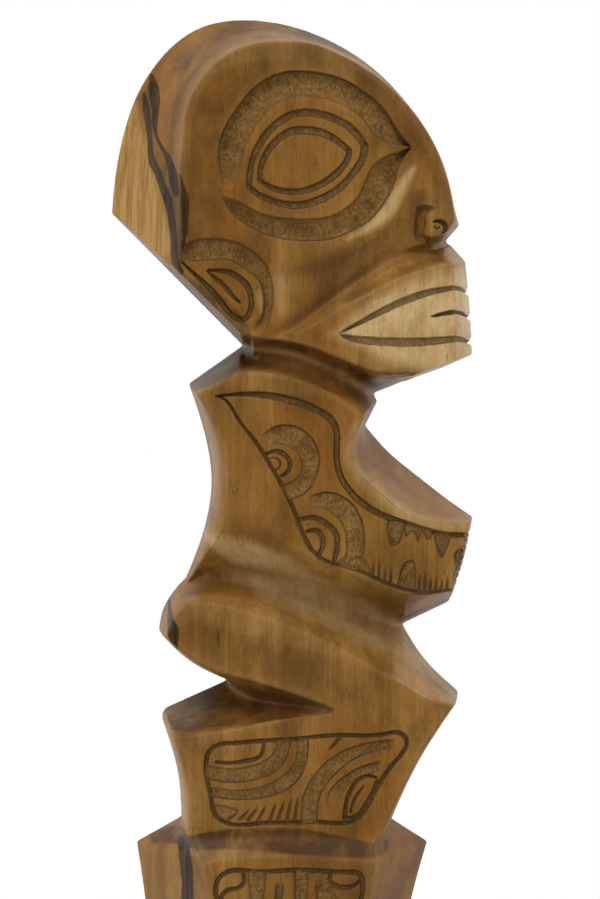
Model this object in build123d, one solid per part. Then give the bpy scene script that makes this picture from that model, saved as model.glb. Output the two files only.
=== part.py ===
"""Carved hardwood tiki figure on a doweled and screwed plinth, in millimetres.

The figure is one piece of wood, carved from both sides of a plank: a large head with a broad bevelled
crown, a raised mouth, a torso with a jutting belly, bent legs in profile and a waisted six-sided pedestal.
Each mass of the body is a loft between its outline on the middle plane and its smaller outline on the
flat of the plank, so that its edges are bevels; where two masses cross, their bevels meet in a valley.

+X is the way the face looks, +Z is up, and the figure is the same on both sides of the XZ plane.
The origin is the middle of the resting plane, under the plinth's felt pads.
"""

import os
from math import hypot, sqrt

from build123d import *

# ---- driving dimensions ------------------------------------------------------------------------------

figure_height = 159.4      # soles to crown
plank_half = 21.0          # half thickness of torso and legs
head_half_back = 23.0      # half thickness of the head at the back edge of its side
head_taper = 0.15          # how much thinner per millimetre the head gets towards the nose
mouth_half_back = 20.0     # half thickness of the mouth at its corner
mouth_taper = 0.05         # the same for the mouth, towards the lips

cheek_depth_back = 0.7     # how far the cheek is hollowed below the flat of the head, at the ear
cheek_depth_front = 2.6    # the same at the nose
eye_channel_depth = 1.5
ear_channel_depth = 1.2
lip_groove_depth = 0.7
motif_depth = 0.65         # of the bands in the arm and in the two panels
line_width = 1.1           # of the groove that outlines the arm and frames a panel
line_depth = 0.6
cutter_reach = 2.0         # how far a cutter stands out past the wood

pedestal_height = 52.0     # from its foot to the ridge corners at its top
pedestal_half = 24.0       # half thickness of the pedestal
pedestal_roof = 4.4        # rise of its sloping top, from the ridge corners to the soles
foot_half_length = 29.5    # middle of the foot to its front or back ridge
foot_flat_half = 15.5      # half length of the foot's flat sides

plinth_thickness = 14.0
plinth_margin = 8.0        # how far the plinth stands out round the foot
plinth_chamfer = 2.5       # on its top edge

pad_radius = 6.0
pad_thickness = 2.0
pad_edge_gap = 3.0         # from a pad's rim to the plinth's side

dowel_radius = 4.0
dowel_in_figure = 18.0     # depth of the dowel in the pedestal
dowel_in_plinth = 9.0
dowel_spacing = 26.0       # between the two dowels, along X
dowel_end_chamfer = 0.8
glue_gap = 0.1             # round a dowel, and past its end

screw_radius = 2.5         # outside of the thread
screw_length = 38.0        # under the head
screw_tip_length = 6.0
screw_head_radius = 4.6
screw_head_height = 3.2
screw_head_bevel = 1.0     # round the head's edge
screw_slot_width = 1.2
screw_slot_depth = 1.6
shank_clearance = 0.25     # round the shank, in the plinth and the washer
thread_gap = 0.05          # round the thread, in the hole that it cuts
washer_radius = 6.5
washer_thickness = 1.2
counterbore_clearance = 0.8    # round the washer
counterbore_depth = 7.0

# ---- the carver's drawing ----------------------------------------------------------------------------
# Outlines are drawn with x forwards and z up from the soles, and scaled so that the crown is at its height.

CROWN = (-10.4, 159.4)
PAST_FRONT = 38.0          # where a cut has run out past the lips and the belly
drawing_scale = figure_height / CROWN[1]
plinth_top = pad_thickness + plinth_thickness
ridge_z = plinth_top + pedestal_height
sole_z = ridge_z + pedestal_roof


def stretch(points, half_at):
    """An edge of an outline: a line through two drawn points, an arc through three, a curve through more.

    half_at gives the distance from the middle plane for a drawn x, so an outline may lie on a plane
    that is turned towards the nose.
    """
    placed = [Vector(x * drawing_scale, -half_at(x), sole_z + z * drawing_scale) for x, z in points]
    if len(placed) == 2:
        return Line(*placed)
    if len(placed) == 3:
        return ThreePointArc(*placed)
    return Spline(*placed)


def polygon(*corners):
    """The straight stretches of a closed line through the corners."""
    return list(zip(corners, corners[1:] + corners[:1]))


def outline_face(stretches, half_at):
    """The flat face inside a closed chain of stretches."""
    return make_face([stretch(points, half_at) for points in stretches])


def middle_plane(_x):
    return 0.0


def between(one, other):
    """The solid with straight sides from one flat face to the other."""
    return Solid(loft([one, other], ruled=True).wrapped)


def both_sides(near):
    """A solid on the near side together with its mirror image on the far side."""
    return near + mirror(near, about=Plane.XZ)


def mass(middle, side, half_at):
    """One mass of the body: straight bevels from the side outline to the middle one, on both sides.

    The two outlines have as many stretches each, in the same order, and each pair makes one bevel.
    """
    return both_sides(between(outline_face(side, half_at), outline_face(middle, middle_plane)))


def cutter(face, depth):
    """Cuts of one depth into both sides of the wood, over a face that lies on their floor."""
    return both_sides(extrude(face, depth + cutter_reach, dir=(0, -1, 0)))


def pocket(outline, half_at, depth):
    """A cut with a flat floor, at one depth below the face that half_at describes."""
    return cutter(outline_face(outline, lambda x: half_at(x) - depth), depth)


def frame_groove(outline, half_at):
    """A narrow groove that frames a panel, inside its outline."""
    face = outline_face(outline, lambda x: half_at(x) - line_depth)
    return cutter(face - offset(face, -line_width, kind=Kind.INTERSECTION), line_depth)


def line_groove(line, lean):
    """A narrow groove on the flat of the plank, on a line's upper side (lean 1) or on its lower side (-1)."""
    shift = lean * line_width / sqrt(2) / drawing_scale
    other = [(x + shift, z + shift) for x, z in reversed(line)]
    return pocket(polygon(*line, *other), body_half, line_depth)


def head_half(x):
    return head_half_back - head_taper * (x + 21.0) * drawing_scale


def cheek_half(x):
    """Half thickness at the floor of the cheek's hollow, which deepens from the ear to the nose."""
    ear, nose = -6.0, 26.0
    share = (x - ear) / (nose - ear)
    return head_half(x) - cheek_depth_back - (cheek_depth_front - cheek_depth_back) * share


def mouth_half(x):
    return mouth_half_back - mouth_taper * (x + 1.2) * drawing_scale


def body_half(_x):
    return plank_half


def pedestal_face(_x):
    return pedestal_half


def head():
    """Skull, forehead and nose: a wide bevel round the back and crown, a blunt ridge at the front."""
    middle = [
        [(-35.6, 120.8), (-34.7, 129.6), (-31.4, 142.4)],
        [(-31.4, 142.4), (-23.2, 154.6), CROWN],
        [CROWN, (9.0, 154.8), (23.6, 142.4)],
        [(23.6, 142.4), (29.8, 131.2), (33.8, 118.4)],
        [(33.8, 118.4), (31.2, 115.4)],
        [(31.2, 115.4), (-5.0, 91.4)],
        [(-5.0, 91.4), (-9.4, 94.4)],
        [(-9.4, 94.4), (-35.6, 120.8)],
    ]
    side = [
        [(-21.0, 107.0), (-20.9, 120.0), (-19.8, 135.6)],
        [(-19.8, 135.6), (-14.6, 146.4), (-2.0, 151.3)],
        [(-2.0, 151.3), (13.2, 147.6), (24.2, 138.2)],
        [(24.2, 138.2), (29.4, 129.4), (32.1, 117.8)],
        [(32.1, 117.8), (30.2, 115.2)],
        [(30.2, 115.2), (-5.0, 94.9)],
        [(-5.0, 94.9), (-9.0, 95.2)],
        [(-9.0, 95.2), (-21.0, 107.0)],
    ]
    return mass(middle, side, head_half)


def cheek_hollow():
    """The hollow of cheek and jaw: it slopes in from the rim under the eye, and runs on under the mouth."""
    rim = [
        [(26.4, 122.0), (14.0, 112.4), (-3.6, 104.6)],
        [(-3.6, 104.6), (-6.0, 94.4)],
        [(-6.0, 94.4), (8.0, 90.0)],
        [(8.0, 90.0), (26.6, 108.0)],
        [(26.6, 108.0), (26.4, 122.0)],
    ]
    floor = [
        [(25.4, 117.4), (14.6, 107.8), (0.6, 100.0)],
        [(0.6, 100.0), (-2.0, 95.0)],
        [(-2.0, 95.0), (8.0, 90.0)],
        [(8.0, 90.0), (25.4, 108.0)],
        [(25.4, 108.0), (25.4, 117.4)],
    ]
    return both_sides(between(outline_face(rim, head_half), outline_face(floor, cheek_half)))


def mouth():
    """The raised mouth, a leaf that starts at its corner under the ear and ends in the blunt lips."""
    middle = [
        [(31.2, 115.4), (35.0, 111.2)],
        [(35.0, 111.2), (35.9, 102.0), (36.4, 92.6)],
        [(36.4, 92.6), (28.4, 88.8), (20.0, 85.6)],
        [(20.0, 85.6), (-6.0, 84.0)],
        [(-6.0, 84.0), (-6.0, 104.0)],
        [(-6.0, 104.0), (20.0, 117.0)],
        [(20.0, 117.0), (31.2, 115.4)],
    ]
    side = [
        [(29.0, 108.6), (30.8, 108.0)],
        [(30.8, 108.0), (31.4, 98.0), (31.0, 89.6)],
        [(31.0, 89.6), (25.4, 87.7), (19.5, 87.6)],
        [(19.5, 87.6), (9.6, 90.2), (-1.2, 94.0)],
        [(-1.2, 94.0), (-1.2, 94.4)],
        [(-1.2, 94.4), (10.0, 100.4), (21.0, 105.9)],
        [(21.0, 105.9), (29.0, 108.6)],
    ]
    return mass(middle, side, mouth_half)


def torso():
    """Shoulders, back and jutting belly, with a scooped bevel on the belly's upper edge."""
    middle = [
        [(-20.2, 86.8), (-9.4, 94.4)],
        [(-9.4, 94.4), (0.0, 98.6)],
        [(0.0, 98.6), (9.0, 95.6)],
        [(9.0, 95.6), (17.4, 83.2)],
        [(17.4, 83.2), (15.0, 78.4)],
        [(15.0, 78.4), (24.4, 68.4), (36.4, 60.2)],
        [(36.4, 60.2), (31.6, 43.2)],
        [(31.6, 43.2), (22.4, 38.8)],
        [(22.4, 38.8), (-22.4, 46.4)],
        [(-22.4, 46.4), (-16.0, 65.2), (-20.2, 86.8)],
    ]
    side = [
        [(-17.6, 83.5), (-8.8, 88.4)],
        [(-8.8, 88.4), (2.8, 86.5)],
        [(2.8, 86.5), (8.7, 83.5)],
        [(8.7, 83.5), (14.5, 79.3)],
        [(14.5, 79.3), (13.0, 76.0)],
        [(13.0, 76.0), (18.6, 64.8), (34.3, 60.4)],
        [(34.3, 60.4), (31.1, 47.2)],
        [(31.1, 47.2), (22.3, 45.7)],
        [(22.3, 45.7), (-2.0, 52.5), (-15.9, 55.0)],
        [(-15.9, 55.0), (-14.2, 68.6), (-17.6, 83.5)],
    ]
    return mass(middle, side, body_half)


def thigh():
    """Hip and thigh down to the knee in front, with the upper wall of the cut behind the knee."""
    middle = [
        [(-26.2, 37.6), (-22.4, 46.4)],
        [(-22.4, 46.4), (-4.0, 52.6)],
        [(-4.0, 52.6), (22.4, 38.8)],
        [(22.4, 38.8), (26.8, 31.8)],
        [(26.8, 31.8), (33.6, 25.3)],
        [(33.6, 25.3), (24.0, 12.0)],
        [(24.0, 12.0), (10.0, 10.0)],
        [(10.0, 10.0), (-12.4, 27.6)],
        [(-12.4, 27.6), (-26.2, 37.6)],
    ]
    side = [
        [(-23.4, 37.9), (-19.5, 44.3)],
        [(-19.5, 44.3), (-11.0, 43.8), (-3.5, 41.4)],
        [(-3.5, 41.4), (22.3, 28.6)],
        [(22.3, 28.6), (26.0, 26.9)],
        [(26.0, 26.9), (31.2, 25.2)],
        [(31.2, 25.2), (24.0, 20.0)],
        [(24.0, 20.0), (8.4, 24.0)],
        [(8.4, 24.0), (-12.4, 30.8)],
        [(-12.4, 30.8), (-23.4, 37.9)],
    ]
    return mass(middle, side, body_half)


def lower_leg():
    """Calf and shin, with the lower wall of the cut behind the knee."""
    middle = [
        [(-24.8, 22.0), (-12.4, 27.6)],
        [(-12.4, 27.6), (10.0, 38.0)],
        [(10.0, 38.0), (33.6, 25.3)],
        [(33.6, 25.3), (24.6, 11.2), (19.2, -3.0)],
        [(19.2, -3.0), (-21.4, -3.0)],
        [(-21.4, -3.0), (-22.2, 8.0), (-24.8, 22.0)],
    ]
    side = [
        [(-21.6, 19.6), (-7.2, 20.9)],
        [(-7.2, 20.9), (9.0, 24.2)],
        [(9.0, 24.2), (31.2, 25.2)],
        [(31.2, 25.2), (22.0, 10.0), (16.5, -3.0)],
        [(16.5, -3.0), (-18.9, -3.0)],
        [(-18.9, -3.0), (-19.2, 8.0), (-21.6, 19.6)],
    ]
    return mass(middle, side, body_half)


def pedestal():
    """The waisted six-sided block under the soles; its top slopes down to its edges like a roof."""
    k = 1.0 / drawing_scale
    foot = (plinth_top - sole_z) * k
    ridge = (ridge_z - sole_z) * k
    waist = (foot + ridge) / 2
    tip = foot_half_length * k
    flat = foot_flat_half * k
    middle = [
        [(-30.6, ridge), (-22.0, 0.4)],
        [(-22.0, 0.4), (-14.0, 9.0)],
        [(-14.0, 9.0), (11.0, 9.0)],
        [(11.0, 9.0), (19.4, 0.2)],
        [(19.4, 0.2), (27.4, ridge)],
        [(27.4, ridge), (22.6, waist), (tip, foot)],
        [(tip, foot), (-tip, foot)],
        [(-tip, foot), (-27.8, waist), (-30.6, ridge)],
    ]
    side = [
        [(-15.5, ridge), (-9.0, -3.1)],
        [(-9.0, -3.1), (-4.0, -2.8)],
        [(-4.0, -2.8), (4.0, -2.8)],
        [(4.0, -2.8), (9.0, -3.1)],
        [(9.0, -3.1), (16.3, ridge)],
        [(16.3, ridge), (13.6, waist), (flat, foot)],
        [(flat, foot), (-flat, foot)],
        [(-flat, foot), (-14.2, waist), (-15.5, ridge)],
    ]
    return mass(middle, side, pedestal_face)


def eye_channels():
    """The wide channel round the eye, over and under it, with a narrow bridge left at the pointed front."""
    over = [
        [(-12.4, 123.0), (-12.7, 132.6), (-7.0, 142.2)],
        [(-7.0, 142.2), (3.0, 145.8), (14.0, 142.2)],
        [(14.0, 142.2), (19.2, 137.0), (23.6, 132.0)],
        [(23.6, 132.0), (18.6, 132.6), (15.4, 136.0)],
        [(15.4, 136.0), (4.2, 141.2), (-6.2, 135.2)],
        [(-6.2, 135.2), (-9.2, 129.0), (-10.4, 122.8)],
        [(-10.4, 122.8), (-12.4, 123.0)],
    ]
    under = [
        [(-12.9, 121.3), (-2.0, 113.9), (11.0, 114.9)],
        [(11.0, 114.9), (18.6, 122.0), (22.9, 131.0)],
        [(22.9, 131.0), (17.0, 129.2), (14.6, 124.0)],
        [(14.6, 124.0), (3.0, 117.6), (-12.9, 121.3)],
    ]
    return [pocket(outline, head_half, eye_channel_depth) for outline in (over, under)]


def ear_channel():
    """The curled channel over and before the ear, which leaves the ear standing as a leaf."""
    outline = polygon((-20.0, 111.8), (-15.6, 113.6), (-10.8, 113.4), (-6.6, 111.4), (-3.8, 107.4),
                      (-3.0, 102.4), (-4.6, 97.2), (-6.4, 97.6), (-4.9, 101.6), (-5.4, 104.8), (-8.4, 107.8),
                      (-12.6, 109.7), (-20.0, 109.4))
    return pocket(outline, head_half, ear_channel_depth)


def lip_grooves():
    """The two lip grooves on each side, which meet at the corner of the mouth and run out past the lips."""
    upper = polygon((9.3, 95.7), (16.0, 99.9), (24.4, 103.6), (30.6, 104.9), (PAST_FRONT, 105.2),
                    (PAST_FRONT, 104.2), (30.6, 103.7), (24.6, 102.2), (16.6, 99.0))
    lower = polygon((10.2, 94.9), (22.8, 95.1), (PAST_FRONT, 95.4), (PAST_FRONT, 94.4), (24.0, 93.3), (15.6, 93.6))
    return [pocket(outline, mouth_half, lip_groove_depth) for outline in (upper, lower)]


def lip_notches():
    """The same grooves across the front of the lips, with the opening of the mouth between them."""
    middle_x, side_x = 36.0, 31.4
    tip = middle_x * drawing_scale - lip_groove_depth
    side = side_x * drawing_scale - lip_groove_depth
    past = PAST_FRONT * drawing_scale
    half = mouth_half(side_x)
    notches = []
    for z in (94.9, 99.8, 104.7):
        low = sole_z + z * drawing_scale - line_width / 2
        plan = Polyline((tip, 0), (side, half), (past, half), (past, -half), (side, -half), close=True)
        notches.append(Pos(0, 0, low) * extrude(make_face(plan), line_width))
    return notches


def arm_cuts():
    """The groove round the bent arm, open across the belly's front, and the two curled motifs in it."""
    shoulder_line = [(-12.4, 84.3), (-3.1, 84.1), (4.6, 81.8), (8.6, 79.0), (9.9, 71.6), (12.6, 65.8),
                     (18.6, 61.4), (28.0, 58.4), (PAST_FRONT, 57.9)]
    elbow_line = [(-14.0, 83.4), (-2.0, 66.2), (3.6, 55.2), (6.4, 52.8), (18.6, 48.9), (27.0, 47.5),
                  (PAST_FRONT, 48.8)]
    upper_motif = polygon((-4.6, 76.4), (-1.0, 78.0), (3.2, 76.9), (5.8, 73.0), (5.2, 68.2), (1.8, 64.8),
                          (0.2, 67.4), (2.0, 69.6), (1.7, 72.6), (-1.0, 74.5), (-4.6, 73.9))
    lower_motif = polygon((3.6, 64.8), (7.2, 65.6), (11.0, 64.2), (13.6, 60.0), (13.4, 53.4),
                          (10.4, 54.2), (10.4, 58.4), (8.2, 61.4), (4.0, 62.6))
    motifs = [pocket(outline, body_half, motif_depth) for outline in (upper_motif, lower_motif)]
    return [line_groove(shoulder_line, -1), line_groove(elbow_line, 1)] + motifs


def leg_panel():
    """The framed panel on the lower leg: two nested hooks behind and a sweeping leaf in front."""
    frame = polygon((-15.8, 15.6), (-14.6, 17.0), (21.2, 19.6), (22.2, 18.2), (13.4, 3.8), (11.6, 2.8),
                    (-11.6, 2.5), (-14.0, 4.2))
    upper_hook = polygon((-13.6, 10.6), (-8.0, 10.4), (-3.4, 12.0), (-0.6, 14.4), (0.2, 16.8),
                         (-2.8, 16.6), (-4.4, 14.6), (-8.2, 13.2), (-13.8, 13.2))
    lower_hook = polygon((-12.6, 7.2), (-6.0, 7.2), (-0.6, 8.8), (2.6, 12.2), (3.6, 16.8),
                         (1.4, 16.8), (0.4, 13.4), (-2.4, 10.8), (-6.6, 9.4), (-12.8, 9.2))
    leaf = polygon((17.6, 17.6), (10.6, 16.6), (5.4, 12.8), (2.8, 8.6), (2.6, 4.4),
                   (5.4, 4.4), (6.6, 9.2), (10.8, 13.6), (17.4, 15.8))
    bands = [pocket(outline, body_half, motif_depth) for outline in (upper_hook, lower_hook, leaf)]
    return [frame_groove(frame, body_half)] + bands


def pedestal_panel():
    """The framed panel on the pedestal, with three upright bands that spread below."""
    top_margin, foot_margin, side = 2.2, 4.4, 13.2
    top = (ridge_z - sole_z) / drawing_scale - top_margin
    foot = (plinth_top - sole_z) / drawing_scale + foot_margin
    frame = polygon((-side, foot), (-side, top), (side, top), (side, foot))
    high = top - 2 * line_width
    low = (top + foot) / 2
    bands = []
    for left, right, spread in ((-7.6, -4.4, -0.4), (1.0, 3.6, 0.7), (5.6, 8.4, 3.0)):
        band = polygon((left, high), (right, high), (right + spread, low), (left + spread, low))
        bands.append(pocket(band, pedestal_face, motif_depth))
    return [frame_groove(frame, pedestal_face)] + bands


def hole(radius, z_low, z_high, x=0.0):
    """An upright cylinder to cut a hole with, on the middle plane."""
    return Pos(x, 0, z_low) * Cylinder(radius, z_high - z_low, align=(Align.CENTER, Align.CENTER, Align.MIN))


def dowel_places():
    return {"front": dowel_spacing / 2, "back": -dowel_spacing / 2}


def carved_figure():
    """All the masses as one piece of wood, with its main cuts and the blind holes in its foot."""
    body = head() - cheek_hollow() + mouth() + torso() + thigh() + lower_leg() + pedestal()
    cuts = eye_channels() + [ear_channel()] + lip_grooves() + lip_notches()
    cuts += arm_cuts() + leg_panel() + pedestal_panel()
    for cut in cuts:
        body -= cut
    for x in dowel_places().values():
        body -= hole(dowel_radius + glue_gap, plinth_top, dowel_top + glue_gap, x)
    body -= hole(screw_radius + thread_gap, plinth_top, screw_tip + thread_gap)
    return body


# ---- plinth and fixings ------------------------------------------------------------------------------

dowel_foot = plinth_top - dowel_in_plinth      # the dowels stand on the floors of their holes
dowel_top = plinth_top + dowel_in_figure
counterbore_floor = pad_thickness + counterbore_depth
screw_shoulder = counterbore_floor - washer_thickness
screw_tip = screw_shoulder + screw_length


def plinth_outline():
    """The outline of the foot, moved outwards by the margin."""
    corners = [
        (-foot_half_length, 0),
        (-foot_flat_half, -pedestal_half),
        (foot_flat_half, -pedestal_half),
        (foot_half_length, 0),
        (foot_flat_half, pedestal_half),
        (-foot_flat_half, pedestal_half),
    ]
    return offset(make_face(Polyline(*corners, close=True)), plinth_margin, kind=Kind.INTERSECTION)


def plinth():
    """A six-sided board with a chamfered top, holes for the dowels and a counterbore for the screw."""
    board = extrude(plinth_outline(), plinth_thickness)
    board = chamfer(board.edges().group_by(Axis.Z)[-1], plinth_chamfer)
    board = Pos(0, 0, pad_thickness) * board
    for x in dowel_places().values():
        board -= hole(dowel_radius + glue_gap, dowel_foot, plinth_top, x)
    board -= hole(washer_radius + counterbore_clearance, pad_thickness, counterbore_floor)
    board -= hole(screw_radius + shank_clearance, counterbore_floor, plinth_top)
    return board


def dowel(x):
    """A round pin with chamfered ends, glued into the plinth and the foot of the figure."""
    pin = hole(dowel_radius, dowel_foot, dowel_top, x)
    return chamfer(pin.edges().filter_by(GeomType.CIRCLE), dowel_end_chamfer)


def fixing_screw():
    """A pan-headed wood screw from below, with a straight slot; its thread is left plain."""
    head_top = screw_shoulder - screw_head_height
    crown_edge = head_top + screw_head_bevel
    half = make_face(
        [
            Line((0, head_top), (0, screw_tip)),
            Line((0, screw_tip), (screw_radius, screw_tip - screw_tip_length)),
            Line((screw_radius, screw_tip - screw_tip_length), (screw_radius, screw_shoulder)),
            Line((screw_radius, screw_shoulder), (screw_head_radius, screw_shoulder)),
            Line((screw_head_radius, screw_shoulder), (screw_head_radius, crown_edge)),
            Line((screw_head_radius, crown_edge), (screw_head_radius - screw_head_bevel, head_top)),
            Line((screw_head_radius - screw_head_bevel, head_top), (0, head_top)),
        ]
    )
    screw = revolve(Plane.XZ * half, Axis.Z)
    slot = Pos(0, 0, head_top) * Box(
        3 * screw_head_radius,
        screw_slot_width,
        screw_slot_depth,
        align=(Align.CENTER, Align.CENTER, Align.MIN),
    )
    return screw - slot


def screw_washer():
    ring = hole(washer_radius, screw_shoulder, counterbore_floor)
    return ring - hole(screw_radius + shank_clearance, screw_shoulder, counterbore_floor)


def pad_places():
    """The four pads, each as near to two sides of the plinth as the edge gap allows."""
    side_y = pedestal_half + plinth_margin
    run = foot_half_length - foot_flat_half
    slant = hypot(run, pedestal_half)
    side_gap = pad_edge_gap + pad_radius
    y = side_y - side_gap
    x = foot_half_length + ((plinth_margin - side_gap) * slant - y * run) / pedestal_half
    ends = {"front": x, "back": -x}
    sides = {"left": y, "right": -y}
    return {f"{end}_{side}": (ends[end], sides[side]) for end in ends for side in sides}


def felt_pad(x, y):
    """A round felt pad, stuck under the plinth."""
    return Pos(x, y, 0) * Cylinder(pad_radius, pad_thickness, align=(Align.CENTER, Align.CENTER, Align.MIN))


def main():
    parts = {
        "carved_figure": carved_figure(),
        "plinth": plinth(),
        "fixing_screw": fixing_screw(),
        "screw_washer": screw_washer(),
    }
    for end, x in dowel_places().items():
        parts[f"locating_dowel_{end}"] = dowel(x)
    for corner, (x, y) in pad_places().items():
        parts[f"felt_pad_{corner}"] = felt_pad(x, y)
    os.makedirs("parts", exist_ok=True)
    for node, part in parts.items():
        export_step(part, f"parts/{node}.step")


if __name__ == "__main__":
    main()
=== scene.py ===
"""Looks of the carved hardwood tiki: the figure, its plinth and fixings, their materials and the stage."""

from math import pi

import bpy
import numpy as np
from bpy.props import FloatProperty, FloatVectorProperty, IntProperty, PointerProperty
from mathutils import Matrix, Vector


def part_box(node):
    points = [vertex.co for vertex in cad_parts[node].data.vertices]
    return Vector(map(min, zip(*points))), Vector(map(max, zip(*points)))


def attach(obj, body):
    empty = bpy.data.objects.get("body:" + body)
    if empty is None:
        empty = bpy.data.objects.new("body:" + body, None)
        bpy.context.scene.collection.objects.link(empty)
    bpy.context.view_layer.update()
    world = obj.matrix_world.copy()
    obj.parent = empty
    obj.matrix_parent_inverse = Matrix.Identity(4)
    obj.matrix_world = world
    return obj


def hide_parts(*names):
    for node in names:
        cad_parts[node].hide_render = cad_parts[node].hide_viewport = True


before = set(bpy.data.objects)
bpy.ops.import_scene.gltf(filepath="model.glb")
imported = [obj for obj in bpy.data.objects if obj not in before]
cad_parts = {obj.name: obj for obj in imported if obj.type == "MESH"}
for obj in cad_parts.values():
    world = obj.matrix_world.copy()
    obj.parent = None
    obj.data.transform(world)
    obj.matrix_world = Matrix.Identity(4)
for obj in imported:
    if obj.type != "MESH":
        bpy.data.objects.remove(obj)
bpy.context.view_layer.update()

bl_info = {
    "name": "Carved tiki",
    "version": (1, 0, 0),
    "blender": (4, 5, 0),
    "location": "3D View > Sidebar > Tiki",
    "description": "Carves the tiki's surface round its solids and finishes every piece of it",
    "category": "Object",
}

MM = 0.001
CARVING = "carved_figure"
PLINTH = "plinth"
DOWELS = ("locating_dowel_front", "locating_dowel_back")
SCREW = "fixing_screw"
WASHER = "screw_washer"
PADS = ("felt_pad_front_left", "felt_pad_front_right", "felt_pad_back_left", "felt_pad_back_right")

# ---- the carver's drawing -----------------------------------------------------------------------------
# Lengths are in millimetres, with x forwards and z up from the soles. The drawing reaches from DRAWN_FOOT
# to DRAWN_TOP, and it is placed and scaled to fit the solid.

DRAWN_FOOT = -56.4
DRAWN_TOP = 159.4
GRID_BACK = -37.0       # the grid of half thicknesses reaches a little past the outline
GRID_FRONT = 37.5
GRID_STEP = 0.2
CURVE_STEP = 0.8        # between two points of a cut's curve

RIM = 2.0               # creases are filled less and less within this of the outline
FILLETS = (             # passes that fill the creases, and the heights over which they fade in and out
    (12, (-60.0, -59.0, 162.0, 163.0)),
    (60, (80.0, 84.0, 92.0, 95.0)),
    (150, (36.0, 42.0, 56.0, 62.0)),
)
ROW_KNOTS = (DRAWN_FOOT, -13.0, 25.0, 45.0, 86.0, 92.0, 147.0, DRAWN_TOP)
ROW_SHARES = (0.4, 1.0, 0.5, 1.0, 0.6, 1.0, 0.6)    # rows between the knots, against the closest rows

HEAD_BACK = -21.0       # where the head's flat side begins
HEAD_HALF = 23.0        # its half thickness there
HEAD_TAPER = 0.15       # what it loses in each millimetre forwards
MOUTH_BACK = -1.2
MOUTH_HALF = 20.0
MOUTH_TAPER = 0.05
BODY_HALF = 21.0        # half thickness of torso and legs
PEDESTAL_HALF = 24.0
PEDESTAL_RIM = -3.1     # top of the arch on the pedestal's side
PEDESTAL_ARCH = 0.0066  # how fast the arch falls, with the square of x
ROOF_RIDGE = -0.1       # where the slope over the arch meets the calf


def head_face(x, z):
    """Half thickness of the head: the plank's side, tapered to the nose, less the hollow of the cheek."""
    return HEAD_HALF - HEAD_TAPER * (x - HEAD_BACK) - cheek_hollow(x, z)


def mouth_face(x, z):
    return MOUTH_HALF - MOUTH_TAPER * (x - MOUTH_BACK)


def body_face(x, z):
    return BODY_HALF


def pedestal_face(x, z):
    """The pedestal's upright side, and above its arched edge a slope that runs in to the foot of the calf."""
    edge = PEDESTAL_RIM - PEDESTAL_ARCH * x * x
    slope = (PEDESTAL_HALF - BODY_HALF) / (ROOF_RIDGE - edge)
    return PEDESTAL_HALF - slope * np.maximum(z - edge, 0.0)


def closed_chain(*stretches):
    """Stretches with their starts filled in: each starts where the one before it ends, all the way round."""
    before = (stretches[-1], *stretches[:-1])
    return [([back[-1], *side], [back_middle[-1], *middle], swell)
            for (back, back_middle, _swell), (side, middle, swell) in zip(before, stretches)]


# Each mass is its face and a chain of stretches round it: its edge on the side of the plank, its edge on
# the middle plane, and the swell of the bevel between them, which is above 0 where it is rounded and below
# 0 where it is coved. A pair of swells is for the start and the end of the stretch. No start is written.

HEAD = (
    head_face,
    closed_chain(
        ([(-20.9, 116), (-20.7, 123.3), (-20.3, 131.7), (-19.4, 137.9), (-16.6, 143.9), (-13.2, 147.5),
          (-8.8, 150.1), (-2, 151.3), (5.2, 150.9), (10, 149.1), (15.4, 146.2), (20.8, 142), (26.8, 134.6),
          (30.2, 127.4), (32.1, 117.8)],
         [(-35, 127.4), (-33, 137.6), (-30.4, 144.8), (-26.8, 150.6), (-22.4, 155.2), (-16, 158.6),
          (-10.4, 159.4), (-1, 158.5), (8.2, 155.2), (16.4, 150), (22.4, 144), (27.4, 136.6), (30.6, 129.2),
          (33.8, 118.4)], -0.25),
        ([(30.2, 115.2)], [(31.2, 115.4)], 0),
        ([(27.2, 113.7), (24.1, 112.6), (19.7, 110.2), (12, 105), (4, 99), (-1.4, 95.6), (-5, 94.9)],
         [(9, 80)], 0),
        ([(-9, 95.2)], [(-9.4, 94.4)], 0),
        ([(-21, 107)], [(-35.6, 120.8)], 0.35),
    ),
)
MOUTH = (
    mouth_face,
    closed_chain(
        ([(31, 109.2)], [(35, 111.2)], 0.2),
        ([(31.9, 99), (31.6, 89.9)], [(35.9, 102), (36.4, 92.6)], 0.5),
        ([(28.8, 88.4), (24.1, 87.6), (19.7, 87.8)], [(31, 90.4), (26, 88.6), (20, 86.2)], 0.3),
        ([(15.2, 88.5), (10.4, 90.2), (4.3, 92.7), (-1.4, 94.1), (-7.4, 94.5)], [(2, 82), (-7, 84)], 0),
        ([(-7.4, 94.9)], [(-7, 100)], 0),
        ([(-1.6, 95), (2.2, 96.2), (10.4, 100.8), (16.6, 103.9), (21.2, 106.3)], [(2, 112), (16, 121)], 0.2),
        ([(25.4, 107.9), (29, 108.9)], [(31.2, 115.4)], 0.2),
    ),
)
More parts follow.
